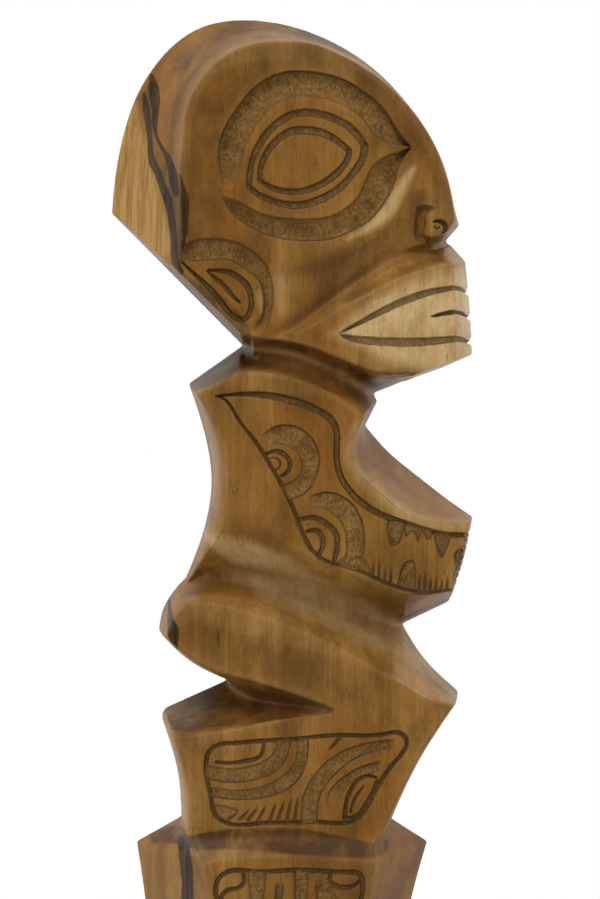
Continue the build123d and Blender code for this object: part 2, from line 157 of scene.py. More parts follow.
TORSO = (
    body_face,
    closed_chain(
        ([(-8.8, 88.6)], [(-9.4, 94.4)], 0.35),
        ([(-2.6, 87.8), (2.8, 86.8)], [(0, 102)], 0),
        ([(8.7, 83.8)], [(11, 98)], 0),
        ([(14.4, 80)], [(17.4, 83.2)], 0),
        ([(13.2, 77.2)], [(15, 78.4)], 0),
        ([(12.3, 72.6), (14.2, 68.7), (18, 65.4), (21.3, 62.6), (24, 61.1), (26.7, 60.3), (29.4, 60),
          (34.3, 60.4)], [(20.2, 72.6), (24.6, 69), (31, 64), (36.4, 60.2)], -0.1),
        ([(33.2, 54), (31.1, 47.2)], [(34.4, 51.6), (31.6, 43.2)], 0.5),
        ([(22.3, 45.9)], [(22.4, 38.8)], 0.2),
        ([(12, 50.2), (2, 54.4)], [(1, 43)], (0.3, 0.7)),
        ([(-5, 57.6), (-11.6, 60.4)], [(-22.4, 44.4)], (0.7, 1)),
        ([(-11.4, 67), (-12.4, 74.4), (-15, 80.4), (-17.6, 84)],
         [(-16.9, 58.8), (-15.7, 67.2), (-17, 76.6), (-20.2, 86.8)], (1, 0.8)),
    ),
)
THIGH = (
    body_face,
    closed_chain(
        ([(-21.8, 41.5), (-19.5, 44.3)], [(-25.4, 41.6), (-22.4, 46.4)], 0.5),
        ([(-16.8, 44.7), (-10.9, 43.7), (-3.5, 41.4)], [(-16, 52), (-4, 57)], 0),
        ([(8.8, 36), (22.3, 28.6)], [(10, 50), (22.4, 38.8)], 0),
        ([(26.5, 26.3), (31.2, 25.2)], [(26.4, 32.4), (33.6, 25.3)], 0),
        ([(27, 18.6)], [(28.6, 17.6)], 0.6),
        ([(9, 22)], [(12, 6)], 0),
        ([(8.4, 24.3)], [(10, 6)], 0),
        ([(4.7, 25.8), (-1.5, 28), (-5.6, 29.2), (-9.4, 30.2), (-12.4, 30.8)],
         [(2, 11), (-7, 19.6), (-12.4, 27.6)], 0),
        ([(-18.5, 33.6), (-23.4, 37.9)], [(-20, 31.6), (-26.2, 37.6)], 0.5),
    ),
)
CALF = (
    body_face,
    closed_chain(
        ([(-19.2, 19.3), (-16.5, 19.6), (-10.5, 20.4), (-7.2, 21.1)], [(-12.4, 27.6)], 0),
        ([(-2.9, 21.9), (5.3, 23.5), (9, 24.2)], [(-6, 30.8), (10, 38)], 0),
        ([(31.2, 24.9)], [(22, 33), (33.6, 24.9)], 0),
        ([(26, 17), (21.2, 8.2), (17, -0.8)], [(27.4, 16), (22.6, 6), (20, -0.4)], 0.6),
        ([(14, -3.2)], [(14, -6)], 0),
        ([(-15.4, -3.2)], [(-15.4, -6)], 0),
        ([(-18.9, -0.8)], [(-21.7, -0.2)], 0),
        ([(-19.2, 8), (-21.6, 19.6)], [(-22.2, 8), (-25.2, 19), (-25.5, 20.9), (-24.8, 22)], 0.8),
    ),
)
PEDESTAL = (
    pedestal_face,
    closed_chain(
        ([(-19, -0.4)], [(-21.6, 0.3)], 0),
        ([(-18, 2)], [(-18.4, 4)], 0),
        ([(15.4, 2)], [(16, 4)], 0),
        ([(16.4, -0.5)], [(19.6, 0.2)], 0),
        ([(16, -4.8)], [(27.4, -4.7)], 0),
        ([(13.6, -30.4), (15.5, -56.4)], [(22.6, -30.4), (29.5, -56.4)], 0),
        ([(-15.5, -56.4)], [(-29.5, -56.4)], 0),
        ([(-14.2, -30.4), (-16, -4.8)], [(-27.8, -30.4), (-30.6, -4.7)], 0),
    ),
)
MASSES = (HEAD, MOUTH, TORSO, THIGH, CALF, PEDESTAL)

# ---- the wood and the stage -----------------------------------------------------------------------------

LAYER_TURN = 0.503      # radians from across the plank to the wood's growth layers

CAMERA_LENS = 84.1
CAMERA_PLACE = (2.0 * MM, -420 * MM, 146 * MM)
AIM = (0, 0, 0.13)      # what the lamps point at
FLOOR_HALF = 3.0
LAMPS = (               # name, place, size and power
    ("left", (-0.75, -0.12, 0.2), 0.5, 3.0),
    ("right", (0.72, -0.1, 0.4), 0.45, 1.9),
    ("key", (-0.12, -0.5, 0.85), 0.6, 7.5),
    ("high", (0.5, 0.3, 0.7), 0.35, 2.6),
)


# ---- curves and masses ----------------------------------------------------------------------------------


def smooth_curve(points, count):
    """Points on the natural cubic through the given ones, whose parameter is the length of the chords."""
    p = np.array(points, float)
    last = len(p) - 1
    chords = np.hypot(*np.diff(p, axis=0).T)
    knots = np.concatenate([[0.0], np.cumsum(chords)])
    system = np.eye(last + 1)
    load = np.zeros_like(p)
    inner = np.arange(1, last)
    system[inner, inner - 1] = chords[:-1]
    system[inner, inner] = 2 * (chords[:-1] + chords[1:])
    system[inner, inner + 1] = chords[1:]
    load[inner] = 6 * np.diff(np.diff(p, axis=0) / chords[:, None], axis=0)
    bend = np.linalg.solve(system, load)
    t = np.linspace(0.0, knots[-1], count)
    k = np.clip(np.searchsorted(knots, t, "right") - 1, 0, last - 1)
    h = chords[k][:, None]
    b = (t - knots[k])[:, None] / h
    a = 1 - b
    return a * p[k] + b * p[k + 1] + ((a**3 - a) * bend[k] + (b**3 - b) * bend[k + 1]) * h * h / 6


def curve_length(points):
    return np.hypot(*np.diff(np.array(points, float), axis=0).T).sum()


def traced(points, spare=8, spacing=CURVE_STEP):
    """The smooth curve through points, in steps of about the spacing."""
    return smooth_curve(points, spare + int(curve_length(points) / spacing))


def offset_from(curve, x, z):
    """Signed distance of points from a curve, above 0 on its left, and their place along it from 0 to 1."""
    best = np.full(x.shape, np.inf)
    place = np.zeros(x.shape)
    side = np.ones(x.shape)
    for k, ((x0, z0), (x1, z1)) in enumerate(zip(curve[:-1], curve[1:])):
        run_x, run_z = x1 - x0, z1 - z0
        dx, dz = x - x0, z - z0
        t = np.clip((dx * run_x + dz * run_z) / (run_x**2 + run_z**2), 0.0, 1.0)
        gap = np.hypot(dx - t * run_x, dz - t * run_z)
        closer = gap < best
        best = np.where(closer, gap, best)
        place = np.where(closer, (k + t) / (len(curve) - 1), place)
        side = np.where(closer, np.sign(run_x * dz - run_z * dx), side)
    return best * side, place


def cheek_hollow(x, z):
    """Depth of the cheek's hollow: none at the rim under the eye, and full where the mouth stands out.

    Between the two lines it goes with the share of the way across, to a power: low in front, where the
    rim is crisp, and high towards the ear, where the hollow fades into the side of the head. It ends at
    the wing of the nose, which stands out of it.
    """
    x, z = np.broadcast_arrays(x, z)
    rim = smooth_curve([(33, 122.6), (27.6, 123.4), (23.2, 122.8), (20.4, 118.6), (16.6, 114.4),
                        (10, 110.6), (2, 107.8), (-3, 104.6), (-4.6, 100), (-5.4, 95.6)], 60)
    stop = smooth_curve([(33, 114.6), (30.2, 115), (27.2, 113.6), (24.1, 112.5), (19.7, 110.1), (12, 104.9),
                         (4, 98.9), (-1.4, 95.5), (-5.4, 94.6)], 60)
    from_rim, _place = offset_from(rim, x, z)
    from_stop, _place = offset_from(stop, x, z)
    share = np.abs(from_rim) / (np.abs(from_rim) + np.abs(from_stop) + 1e-9)
    share = np.where(from_stop > 0, 1.0, np.where(from_rim < 0, 0.0, share))
    power = np.interp(x, [-6.0, 4.0, 14.0, 22.0], [2.0, 1.7, 0.9, 0.6])
    deep = np.interp(x, [-6.0, 4.0, 14.0, 26.0, 33.0], [0.7, 1.7, 2.4, 2.6, 2.2])
    nose = np.clip((27.4 - x) / 1.4, 0.0, 1.0)
    return deep * share**power * nose * nose * (3 - 2 * nose)


def stretch_pairs(stretches, spacing=0.6):
    """Side edge, middle edge and swell of each stretch, with the two edges cut into as many steps."""
    pairs = []
    for side, middle, swell in stretches:
        count = 2 + int(max(curve_length(side), curve_length(middle)) / spacing)
        pairs.append((smooth_curve(side, count), smooth_curve(middle, count), np.broadcast_to(swell, 2)))
    return pairs


def inside(polygon, x, z):
    """Which points are inside the polygon: a ray to the right crosses its edge an odd number of times."""
    found = np.zeros(x.shape, bool)
    after = np.roll(polygon, -1, axis=0)
    for (x0, z0), (x1, z1) in zip(polygon, after):
        if z0 == z1:
            continue
        crosses = (z0 > z) != (z1 > z)
        found ^= crosses & (x < x0 + (z - z0) * (x1 - x0) / (z1 - z0))
    return found


def window(values, low, high, margin=0.0):
    """The slice of an ascending row of values that lies between two limits."""
    return slice(*np.searchsorted(values, (low - margin, high + margin)))


def bevel_step(side_a, side_b, middle_b, middle_a, x, z):
    """Where points fall in the four-sided step between two pairs of points, as (along, across).

    It solves point = (1 - across) * (side_a to side_b at along) + across * (middle_a to middle_b at along).
    """
    e = side_b - side_a
    f = middle_a - side_a
    g = side_a - side_b + middle_b - middle_a
    hx = x - side_a[0]
    hz = z - side_a[1]
    k2 = g[0] * f[1] - g[1] * f[0]
    k1 = e[0] * f[1] - e[1] * f[0] + hx * g[1] - hz * g[0]
    k0 = hx * e[1] - hz * e[0]
    if abs(k2) < 1e-7:
        roots = [-k0 / np.where(k1 == 0, 1e-12, k1)]
    else:
        root = np.sqrt(np.maximum(k1 * k1 - 4 * k0 * k2, 0.0))
        roots = [(-k1 - root) / (2 * k2), (-k1 + root) / (2 * k2)]
    best_along = np.full(x.shape, 9.0)
    best_across = np.full(x.shape, 9.0)
    for across in roots:
        dx = e[0] + g[0] * across
        dz = e[1] + g[1] * across
        along = np.where(
            np.abs(dx) > np.abs(dz),
            (hx - f[0] * across) / np.where(dx == 0, 1e-12, dx),
            (hz - f[1] * across) / np.where(dz == 0, 1e-12, dz),
        )
        fits = (np.abs(along - 0.5) < 0.501) & (np.abs(across - 0.5) < 0.501)
        best_along = np.where(fits, along, best_along)
        best_across = np.where(fits, across, best_across)
    return best_along, best_across


def mass_half(mass, xs, zs):
    """Half thickness of one mass over a grid, and -1 outside it: its flat side, and round that the bevels.

    They fall from the side edge to nothing at the middle edge along straight lines, plus the swell.
    """
    face, stretches = mass
    grid = np.full((len(zs), len(xs)), -1.0)
    pairs = stretch_pairs(stretches)
    outline = np.concatenate([side[:-1] for side, _middle, _swell in pairs])
    rows = window(zs, outline[:, 1].min(), outline[:, 1].max(), 0.3)
    cols = window(xs, outline[:, 0].min(), outline[:, 0].max(), 0.3)
    x, z = np.meshgrid(xs[cols], zs[rows])
    grid[rows, cols] = np.where(inside(outline, x, z), face(x, z), -1.0)
    for side, middle, swell in pairs:
        for k in range(len(side) - 1):
            corners = np.array([side[k], side[k + 1], middle[k + 1], middle[k]])
            rows = window(zs, corners[:, 1].min(), corners[:, 1].max(), 0.01)
            cols = window(xs, corners[:, 0].min(), corners[:, 0].max(), 0.01)
            if rows.stop <= rows.start or cols.stop <= cols.start:
                continue
            x, z = np.meshgrid(xs[cols], zs[rows])
            along, across = bevel_step(*corners, x, z)
            rise = 1 - across
            edge = side[k] + along[..., None] * (side[k + 1] - side[k])
            round_off = swell[0] + (swell[1] - swell[0]) * (k + along) / (len(side) - 1)
            height = face(edge[..., 0], edge[..., 1]) * (rise + round_off * rise * (1 - rise))
            found = across < 2
            grid[rows, cols] = np.where(found, np.maximum(grid[rows, cols], height), grid[rows, cols])
    return grid


def silhouette(zs):
    """The figure's back and front at each height: the outermost crossings of all the middle edges."""
    back = np.full(len(zs), np.inf)
    front = np.full(len(zs), -np.inf)
    for _face, stretches in MASSES:
        edge = np.concatenate([middle[:-1] for _side, middle, _swell in stretch_pairs(stretches)])
        for (x0, z0), (x1, z1) in zip(edge, np.roll(edge, -1, axis=0)):
            rows = window(zs, min(z0, z1), max(z0, z1))
            if rows.stop <= rows.start:
                continue
            x = x0 + (zs[rows] - z0) * (x1 - x0) / (z1 - z0)
            back[rows] = np.minimum(back[rows], x)
            front[rows] = np.maximum(front[rows], x)
    known = np.isfinite(back)
    return (np.interp(zs, zs[known], edge[known]) for edge in (back, front))


def averaged(values, axis, wrap=False):
    """Each value averaged 1-2-1 with its neighbours along one axis; the ends repeat, or wrap round."""
    mode = "wrap" if wrap else "edge"
    pad = [(0, 0)] * values.ndim
    pad[axis] = (1, 1)
    wide = np.pad(values, pad, mode)
    size = values.shape[axis]
    before, after = (np.take(wide, range(k, k + size), axis) for k in (0, 2))
    return values / 2 + (before + after) / 4


def softened(values, passes, axes=(0, 1)):
    for _pass in range(passes):
        for axis in axes:
            values = averaged(values, axis)
    return values


def row_heights(step):
    """Heights of the rows: step apart where there is carving, and about twice that between."""
    travelled = np.concatenate([[0.0], np.cumsum(np.diff(ROW_KNOTS) * ROW_SHARES)])
    count = 1 + int(round(travelled[-1] / step))
    zs = np.interp(np.linspace(0.0, travelled[-1], count), travelled, ROW_KNOTS)
    return np.clip(zs, DRAWN_FOOT + 0.01, DRAWN_TOP - 0.01)


def side_sheet(zs, columns, softness, wall_share=0.4):
    """Points (x, half thickness) of one side of the figure, a row for each height, from back to front.

    The masses' union has its creases filled to a small radius, and to wide ones at throat and waist. In each
    row the section runs from the back edge on the middle plane, over the side, to the front edge, and its
    points are spread evenly by length, in which depth counts for less than x does.
    """
    xs = np.arange(GRID_BACK, GRID_FRONT, GRID_STEP)
    levels = np.arange(DRAWN_FOOT - 1.0, DRAWN_TOP + 1.0, GRID_STEP)
    grid = np.full((len(levels), len(xs)), -1.0)
    for mass in MASSES:
        grid = np.maximum(grid, mass_half(mass, xs, levels))
    grid = softened(np.maximum(grid, 0.0), softness)
    back, front = silhouette(levels)
    within = np.clip(np.minimum(xs - back[:, None], front[:, None] - xs) / RIM, 0.0, 1.0)
    for passes, heights in FILLETS:
        share = within * np.interp(levels, heights, [0.0, 1.0, 1.0, 0.0])[:, None]
        grid += share * np.maximum(softened(grid, passes) - grid, 0.0)
    at = np.interp(zs, levels, np.arange(len(levels)))
    below = np.minimum(at.astype(int), len(levels) - 2)
    share = (at - below)[:, None]
    grid = grid[below] * (1 - share) + grid[below + 1] * share
    back, front = (
        np.interp(zs, levels[1:-1], softened(edge[1:-1], softness, (0,))) for edge in (back, front)
    )
    out = (xs < back[:, None] + 0.02) | (xs > front[:, None] - 0.02)
    x = np.clip(xs, back[:, None], front[:, None])
    x = np.concatenate([back[:, None], x, front[:, None]], axis=1)
    y = np.pad(np.where(out, 0.0, grid), ((0, 0), (1, 1)))
    lengths = np.hypot(np.diff(x, axis=1), wall_share * np.diff(y, axis=1))
    travelled = np.pad(np.cumsum(lengths, axis=1), ((0, 0), (1, 0)))
    share = np.linspace(0.0, 1.0, columns)
    sheet = np.empty((len(zs), columns, 2))
    for row in range(len(zs)):
        wanted = share * travelled[row, -1]
        sheet[row, :, 0] = np.interp(wanted, travelled[row], x[row])
        sheet[row, :, 1] = np.interp(wanted, travelled[row], y[row])
    return sheet


# ---- the carver's cuts ----------------------------------------------------------------------------------


class Cuts:
    """The carving over the side of the figure: its depth, and marks that colour the wood, each from 0 to 1.

    ground is the chiselled floor of a cut, tool the strokes across it and seam the patina and painted shade
    along its edge;
    polish is wood paled by handling with painted highlights and sheen, stain is darkened wood with painted
    shade and shadows, sap is yellow sapwood and streak is old heartwood.
    """

    MARKS = ("ground", "tool", "seam", "wear_and_highlight", "stain_and_shade", "sap", "streak")
    GROUND_FADE = 0.3       # how far from a cut's edge its ground is fully chiselled
    SEAM_PLACE = 0.16       # how far inside the edge the patina and painted shade lie
    SEAM_WIDTH = 0.2
    SEAM_CUT_AWAY = 0.8     # how much of an older seam a new cut takes off
    THIN_SEAM = 0.25        # patina and painted shade over the whole floor of a thin cut
    RUN_OUT = 0.7           # power to which a run rises out of the wood

    def __init__(self, x, z):
        self.x = x
        self.z = z
        self.depth = np.zeros_like(x)
        self.marks = {name: np.zeros_like(x) for name in self.MARKS}
        self.open = np.ones(x.shape, bool)

    def keep_inside(self, outline=None):
        """Later cuts stay inside this closed outline, or go anywhere if there is none."""
        self.open = np.ones(self.x.shape, bool)
        if outline:
            curve = traced(outline, 12)
            self.open = inside(curve[:-1], self.x, self.z)

    def near(self, points, reach):
        """Indices of the surface's points near a curve."""
        low = points.min(axis=0) - reach
        high = points.max(axis=0) + reach
        found = (self.x > low[0]) & (self.x < high[0]) & (self.z > low[1]) & (self.z < high[1])
        return np.nonzero(found & self.open)

    def lower(self, where, depth, from_edge, shade):
        """Sink points to a depth, unless an earlier cut is deeper, with a line of patina and painted shade
        along the edge.
        """
        self.depth[where] = np.maximum(self.depth[where], depth)
        inner = np.clip(from_edge / self.GROUND_FADE, 0.0, 1.0)
        line = np.exp(-(((from_edge - self.SEAM_PLACE) / self.SEAM_WIDTH) ** 2))
        ground = self.marks["ground"]
        seam = self.marks["seam"]
        ground[where] = np.maximum(ground[where], shade * inner)
        seam[where] = np.maximum(seam[where] * (1 - self.SEAM_CUT_AWAY * shade * inner), shade * line)

    def groove(self, points, width, depth, fade=(0, 0), lean=0, wall=0.3, shade=1, stroke=0):
        """A gouge run along a curve, with banks as wide as wall and a floor that is slightly hollow.

        width may be a list, spread evenly along the curve. fade gives the share of the run's length
        over which it rises out of the wood at its start and end. With lean, the floor slopes: it is
        deepest on the curve's left where lean is above 0, and on its right where it is below. stroke is
        the depth of the ridges that the chisel leaves across the floor.
        """
        self.run(traced(points), width, depth, fade, lean, wall, shade, stroke)

    def run(self, curve, width, depth, fade, lean, wall, shade, stroke):
        """The gouge run itself, along a curve of many points."""
        widths = np.atleast_1d(np.array(width, float))
        where = self.near(curve, widths.max())
        offset, place = offset_from(curve, self.x[where], self.z[where])
        half = np.interp(place, np.linspace(0, 1, len(widths)), widths) / 2
        from_edge = half - np.abs(offset)
        rise = np.ones_like(place)
        for from_end, length in ((place, fade[0]), (1 - place, fade[1])):
            if length:
                rise *= np.clip(from_end / length, 0.0, 1.0) ** self.RUN_OUT
        across = np.clip(offset / np.maximum(half, 1e-6), -1.0, 1.0)
        bank = np.clip(from_edge / np.minimum(wall, half * 0.7), 0.0, 1.0)
        bank = bank * bank * (3 - 2 * bank)
        towards = (1 + np.sign(lean) * across) / 2
        hollow = 1 - 0.5 * across**2
        floor = (1 - abs(lean)) * hollow + abs(lean) * (0.1 + 0.9 * towards)
        # The marks are heavier towards the cut's deep side, where its patina and painted shade are darkest.
        lit = np.where(from_edge > 0, rise * shade, 0.0) * (1 - abs(lean) + abs(lean) * towards**0.5)
        thin = np.clip(1.6 - 0.8 * half, 0.0, 1.0) * np.clip(1 - np.abs(across), 0.0, 1.0)
        travel = place * curve_length(curve)
        # The chisel's ridges lie slightly slanted, and swell and shrink along the run.
        ridge = 0.5 + 0.5 * np.sin(
            7.4 * travel + 2.2 * np.sin(1.3 * travel) + 1.1 * across + 0.9 * np.sin(2.9 * travel)
        )
        if stroke:
            self.marks["tool"][where] = np.where(from_edge > 0, ridge, self.marks["tool"][where])
        self.lower(where, (depth * floor - stroke * ridge) * rise * bank, from_edge, lit)
        # Patina and painted shade over the floor of a thin cut.
        self.marks["seam"][where] = np.maximum(self.marks["seam"][where], self.THIN_SEAM * lit * thin)

    def band(self, edge_a, edge_b, depth, fade=(0, 0), lean=0, wall=0.3, shade=1, stroke=0.03):
        """A wide gouge run between two edge curves: along their middle, and as wide as they are apart."""
        count = 12 + int(max(curve_length(edge_a), curve_length(edge_b)) / CURVE_STEP)
        a = smooth_curve(edge_a, count)
        b = smooth_curve(edge_b, count)
        middle = smooth_curve((a + b) / 2, count)
        self.run(middle, np.hypot(*(a - b).T), depth, fade, lean, wall, shade, stroke)

    def recess(self, points, depth, wall=0.4, shade=1):
        """A sunk field inside a closed outline, with a bank inside its edge."""
        curve = traced([*points, points[0]], 12, 0.6)
        where = self.near(curve, 0.1)
        within = inside(curve[:-1], self.x[where], self.z[where])
        where = (where[0][within], where[1][within])
        offset, _place = offset_from(curve, self.x[where], self.z[where])
        from_edge = np.abs(offset)
        self.lower(where, depth * np.clip(from_edge / wall, 0.0, 1.0), from_edge, shade)

    def ease(self, points, radius, depth, fade=(0, 0)):
        """Wear along an edge, or a shallow scoop: depth falls smoothly with the distance from a curve."""
        curve = traced(points)
        where = self.near(curve, radius)
        offset, place = offset_from(curve, self.x[where], self.z[where])
        share = np.clip(1 - (offset / radius) ** 2, 0.0, 1.0) ** 2
        for from_end, length in ((place, fade[0]), (1 - place, fade[1])):
            if length:
                share = share * np.clip(from_end / length, 0.0, 1.0)
        self.depth[where] += depth * share

    def paint(self, name, *strokes):
        """Strengthen a mark along curves. Each stroke is its points, its radius and its amount.

        It fades from the curve on, or only over the last part of the radius, if that is given as a
        fourth value. A radius may be a list, spread evenly along the curve.
        """
        mark = self.marks[name]
        for points, radius, amount, *soft in strokes:
            curve = traced(points)
            radii = np.atleast_1d(np.array(radius, float))
            where = self.near(curve, radii.max())
            offset, place = offset_from(curve, self.x[where], self.z[where])
            reach = np.interp(place, np.linspace(0, 1, len(radii)), radii)
            share = np.clip((reach - np.abs(offset)) / (soft[0] if soft else reach), 0.0, 1.0)
            mark[where] = np.maximum(mark[where], amount * share * share * (3 - 2 * share))


def carve_eye(cuts):
    """The wide channel round the eye, deepest at its outer edge and pointed at the nose, and two rings."""
    cuts.band([(-12.6, 123.4), (-13.4, 129.7), (-13, 133), (-11.8, 135.8), (-9.9, 138.7), (-7.5, 141.8),
               (-4.6, 144.1), (-1.8, 145.3), (2, 145.7), (5.8, 145.4), (9.6, 144.5), (12.9, 142.7),
               (15.8, 140.8), (18.6, 137.7), (21, 134.6), (23.6, 131.7)],
              [(-10.4, 122.8), (-9.2, 127.3), (-8.5, 130.6), (-7.3, 133.4), (-5.6, 135.9), (-2.9, 138.9),
               (0.3, 140.6), (2.8, 141.1), (5.4, 141), (8.6, 140.3), (11.5, 139.1), (13.9, 137.5),
               (15.8, 135.4), (17, 133.4), (19.4, 132.2), (23.4, 131.7)], 1.7, fade=(0.12, 0.02), lean=0.5,
              wall=0.7)
    cuts.band([(-12.9, 121.3), (-10.8, 118.2), (-7.5, 115.9), (-3.7, 114.2), (0.1, 113.4), (3.9, 113.3),
               (7.7, 113.7), (11.5, 115.2), (14.4, 116.8), (16.7, 119.2), (18.6, 122), (19.8, 124.9),
               (20.5, 126.8), (22, 129.6), (23.6, 131.7)],
              [(-12.6, 121.6), (-10.4, 121.2), (-7.5, 119.7), (-4.6, 118.5), (-1.3, 117.9), (2, 117.7),
               (5.8, 117.9), (9.6, 119), (12.4, 121.1), (14.4, 123.5), (15.3, 125.8), (16.2, 128.2),
               (17.7, 129.9), (20.5, 130.8), (23.4, 131.8)], 1.7, fade=(0.06, 0.02), lean=-0.5, wall=0.7)
    outer_corner, outer_tip = (-7.7, 123.6), (14.5, 131.6)
    inner_corner, inner_tip = (-5.7, 124.9), (11.5, 130.7)
    cuts.groove([outer_corner, (-7.5, 126.3), (-6.8, 129.2), (-5.6, 131.8), (-3.8, 134.3), (-1.8, 136.1),
                 (0.6, 137.4), (3.9, 137.9), (6.8, 137.4), (9.6, 136.4), (12.1, 134.8), (13.6, 133.1),
                 outer_tip], [1.2, 1.4, 1.6, 1.6, 1.5], 0.5, wall=0.25)
    cuts.groove([outer_tip, (13.9, 129.2), (12.4, 126.8), (10.5, 124.5), (8.2, 122.6), (5.3, 121.1),
                 (2, 120.2), (-0.9, 120.3), (-3.7, 121.1), (-6.1, 122.2), outer_corner],
                [1.5, 1.5, 1.6, 1.5, 1.1], 0.5, wall=0.25)
    cuts.groove([inner_corner, (-5.4, 127.5), (-4.2, 130.2), (-2.3, 132.5), (0.1, 134.1), (3.4, 134.5),
                 (5.8, 134.2), (8.2, 133.2), (10.1, 131.9), inner_tip], [1, 1.4, 1.7, 1.6, 1.2], 0.5,
                wall=0.25)
    cuts.groove([inner_tip, (11.1, 129.2), (9.8, 127.2), (7.7, 125.3), (4.9, 123.7), (2, 122.8),
                 (-0.9, 122.8), (-3.5, 123.5), inner_corner], [1.2, 1.4, 1.4, 1.3, 0.9], 0.5, wall=0.25)


def carve_ear(cuts):
    """The ear: a raised leaf in a curled channel, with a smaller leaf and a stroke cut into it."""
    cuts.band([(-20.3, 111.6), (-19.2, 112.8), (-17.3, 113.4), (-14.6, 113.7), (-11.8, 113.5), (-9.7, 113),
               (-7.8, 112.1), (-6.1, 110.9), (-4.9, 109.6), (-4, 107.9), (-3.3, 105.5), (-3, 102.8),
               (-3.3, 100.1), (-3.9, 97.4), (-5.4, 95)],
              [(-20.5, 110), (-18.9, 109.2), (-16.7, 109.2), (-14.6, 109.6), (-12.7, 109.7), (-11, 109.3),
               (-9.1, 108.2), (-7.5, 107.1), (-6.1, 106), (-5.3, 104.7), (-4.9, 102.8), (-4.9, 100.6),
               (-5.2, 99), (-6.1, 97.4), (-7.8, 95.6)], 1.2, fade=(0.04, 0.2), lean=-0.3, wall=0.6,
              shade=0.85)
    cuts.groove([(-20.3, 109), (-18.6, 107.4), (-16.5, 105.5), (-14.3, 103.3), (-12.7, 101.2),
                 (-11.3, 99.5), (-9.9, 98.4), (-8.6, 98.3), (-7.6, 99.6), (-7.2, 101.7), (-7.5, 103.6),
                 (-8.4, 105.2), (-9.9, 106.4), (-11.8, 107.3), (-13.5, 107.5), (-15.2, 107.6)],
                [0.4, 0.9, 1.1, 1.2, 1.2, 1.1, 1.3, 1.2, 0.6], 0.55)
    cuts.groove([(-15.6, 107.4), (-13.7, 105.8), (-11.8, 104), (-10.5, 102.5), (-9.4, 101.5)],
                [0.4, 0.9, 1, 0.9, 0.5], 0.45)
    cuts.ease([(-8, 108), (-5.6, 105.2), (-4.7, 101.6), (-5.2, 98.2), (-7.6, 95.8)], 1.5, 0.35, (0.2, 0.1))
    cuts.ease([(-2.4, 107), (-2, 103), (-2.4, 99)], 2.2, 0.3, (0.3, 0.3))


def carve_nose(cuts):
    """The nose wing, a block set off by a dark hollow behind and over it, its nostril cut as a thick hook."""
    cuts.recess([(24.4, 120.4), (27.2, 120.6), (28.2, 119.9), (26.6, 119.1), (26.3, 117.2), (26.2, 115),
                 (27, 113.9), (25, 113.7), (24, 116.8)], 0.9, wall=1, shade=0.6)
    cuts.groove([(27.8, 117.5), (28.7, 117.6), (29.7, 117.1), (30.1, 116.2), (29.6, 115.4)],
                [0.5, 0.9, 1.1, 1, 0.5], 0.8, wall=0.25)
    cuts.groove([(28.9, 116.5), (28.3, 116.1), (27.9, 116.7)], [0.4, 0.5, 0.3], 0.35, wall=0.2, shade=0.7)
    cuts.ease([(26.6, 113.9), (28.6, 113.7), (31, 114.6)], 1.2, 0.5)


def carve_mouth(cuts):
    """Two long lip grooves that meet at the corner of the mouth, and a short one between the lips."""
    cuts.band([(9.3, 95.9), (13.5, 98.4), (19.7, 101.8), (25.7, 104.1), (30.3, 104.9), (34.2, 105.2),
               (38, 105.2)],
              [(9.5, 95.5), (13.5, 97.3), (19.7, 100.2), (25.7, 102.6), (30.3, 103.8), (34.2, 104.2),
               (38, 104.2)], 0.7, fade=(0.05, 0), lean=-0.3)
    cuts.band([(9.3, 95.8), (13.5, 95.3), (19.7, 95), (25.7, 95), (30.3, 95.3), (35, 95.4), (38, 95.3)],
              [(9.3, 95.4), (12, 94.1), (16.6, 93.4), (22.8, 93.2), (28.8, 93.7), (35, 94.4), (38, 94.5)],
              0.7, fade=(0.05, 0), lean=-0.3)
    cuts.groove([(26.8, 98.9), (30.3, 99.7), (34.4, 99.9), (38, 99.8)], [0.5, 1, 0.9, 0.9], 0.7,
                fade=(0.1, 0))
    for z in (95.3, 100.1, 105.3, 90.3):
        cuts.ease([(35, z), (38, z)], 1, 0.35)


def carve_neck(cuts):
    """Two coves over the shoulder with a thin ridge between, and wear round the belly and down the back."""
    cuts.ease([(-8.6, 90.8), (-2.4, 90.1), (2, 89.2), (6, 87.6), (9.7, 85.8), (13, 83.4)], 2.3, 0.7,
              (0.15, 0.15))
    cuts.ease([(-6.6, 93.8), (-1.4, 93.3), (3.5, 92.2), (8.1, 90.2), (11.5, 88.7)], 1.3, 0.4, (0.2, 0.3))
    cuts.ease([(13.6, 77.6), (12.3, 72.4), (14.2, 68.7), (18, 65.4), (24, 61.1), (29.4, 60), (34.3, 60.4)],
              1.5, 0.3, (0.05, 0.05))
    cuts.ease([(-8.6, 74), (-4.6, 67), (-1.4, 60), (1.6, 53.6)], 4.4, 0.35, (0.4, 0.3))


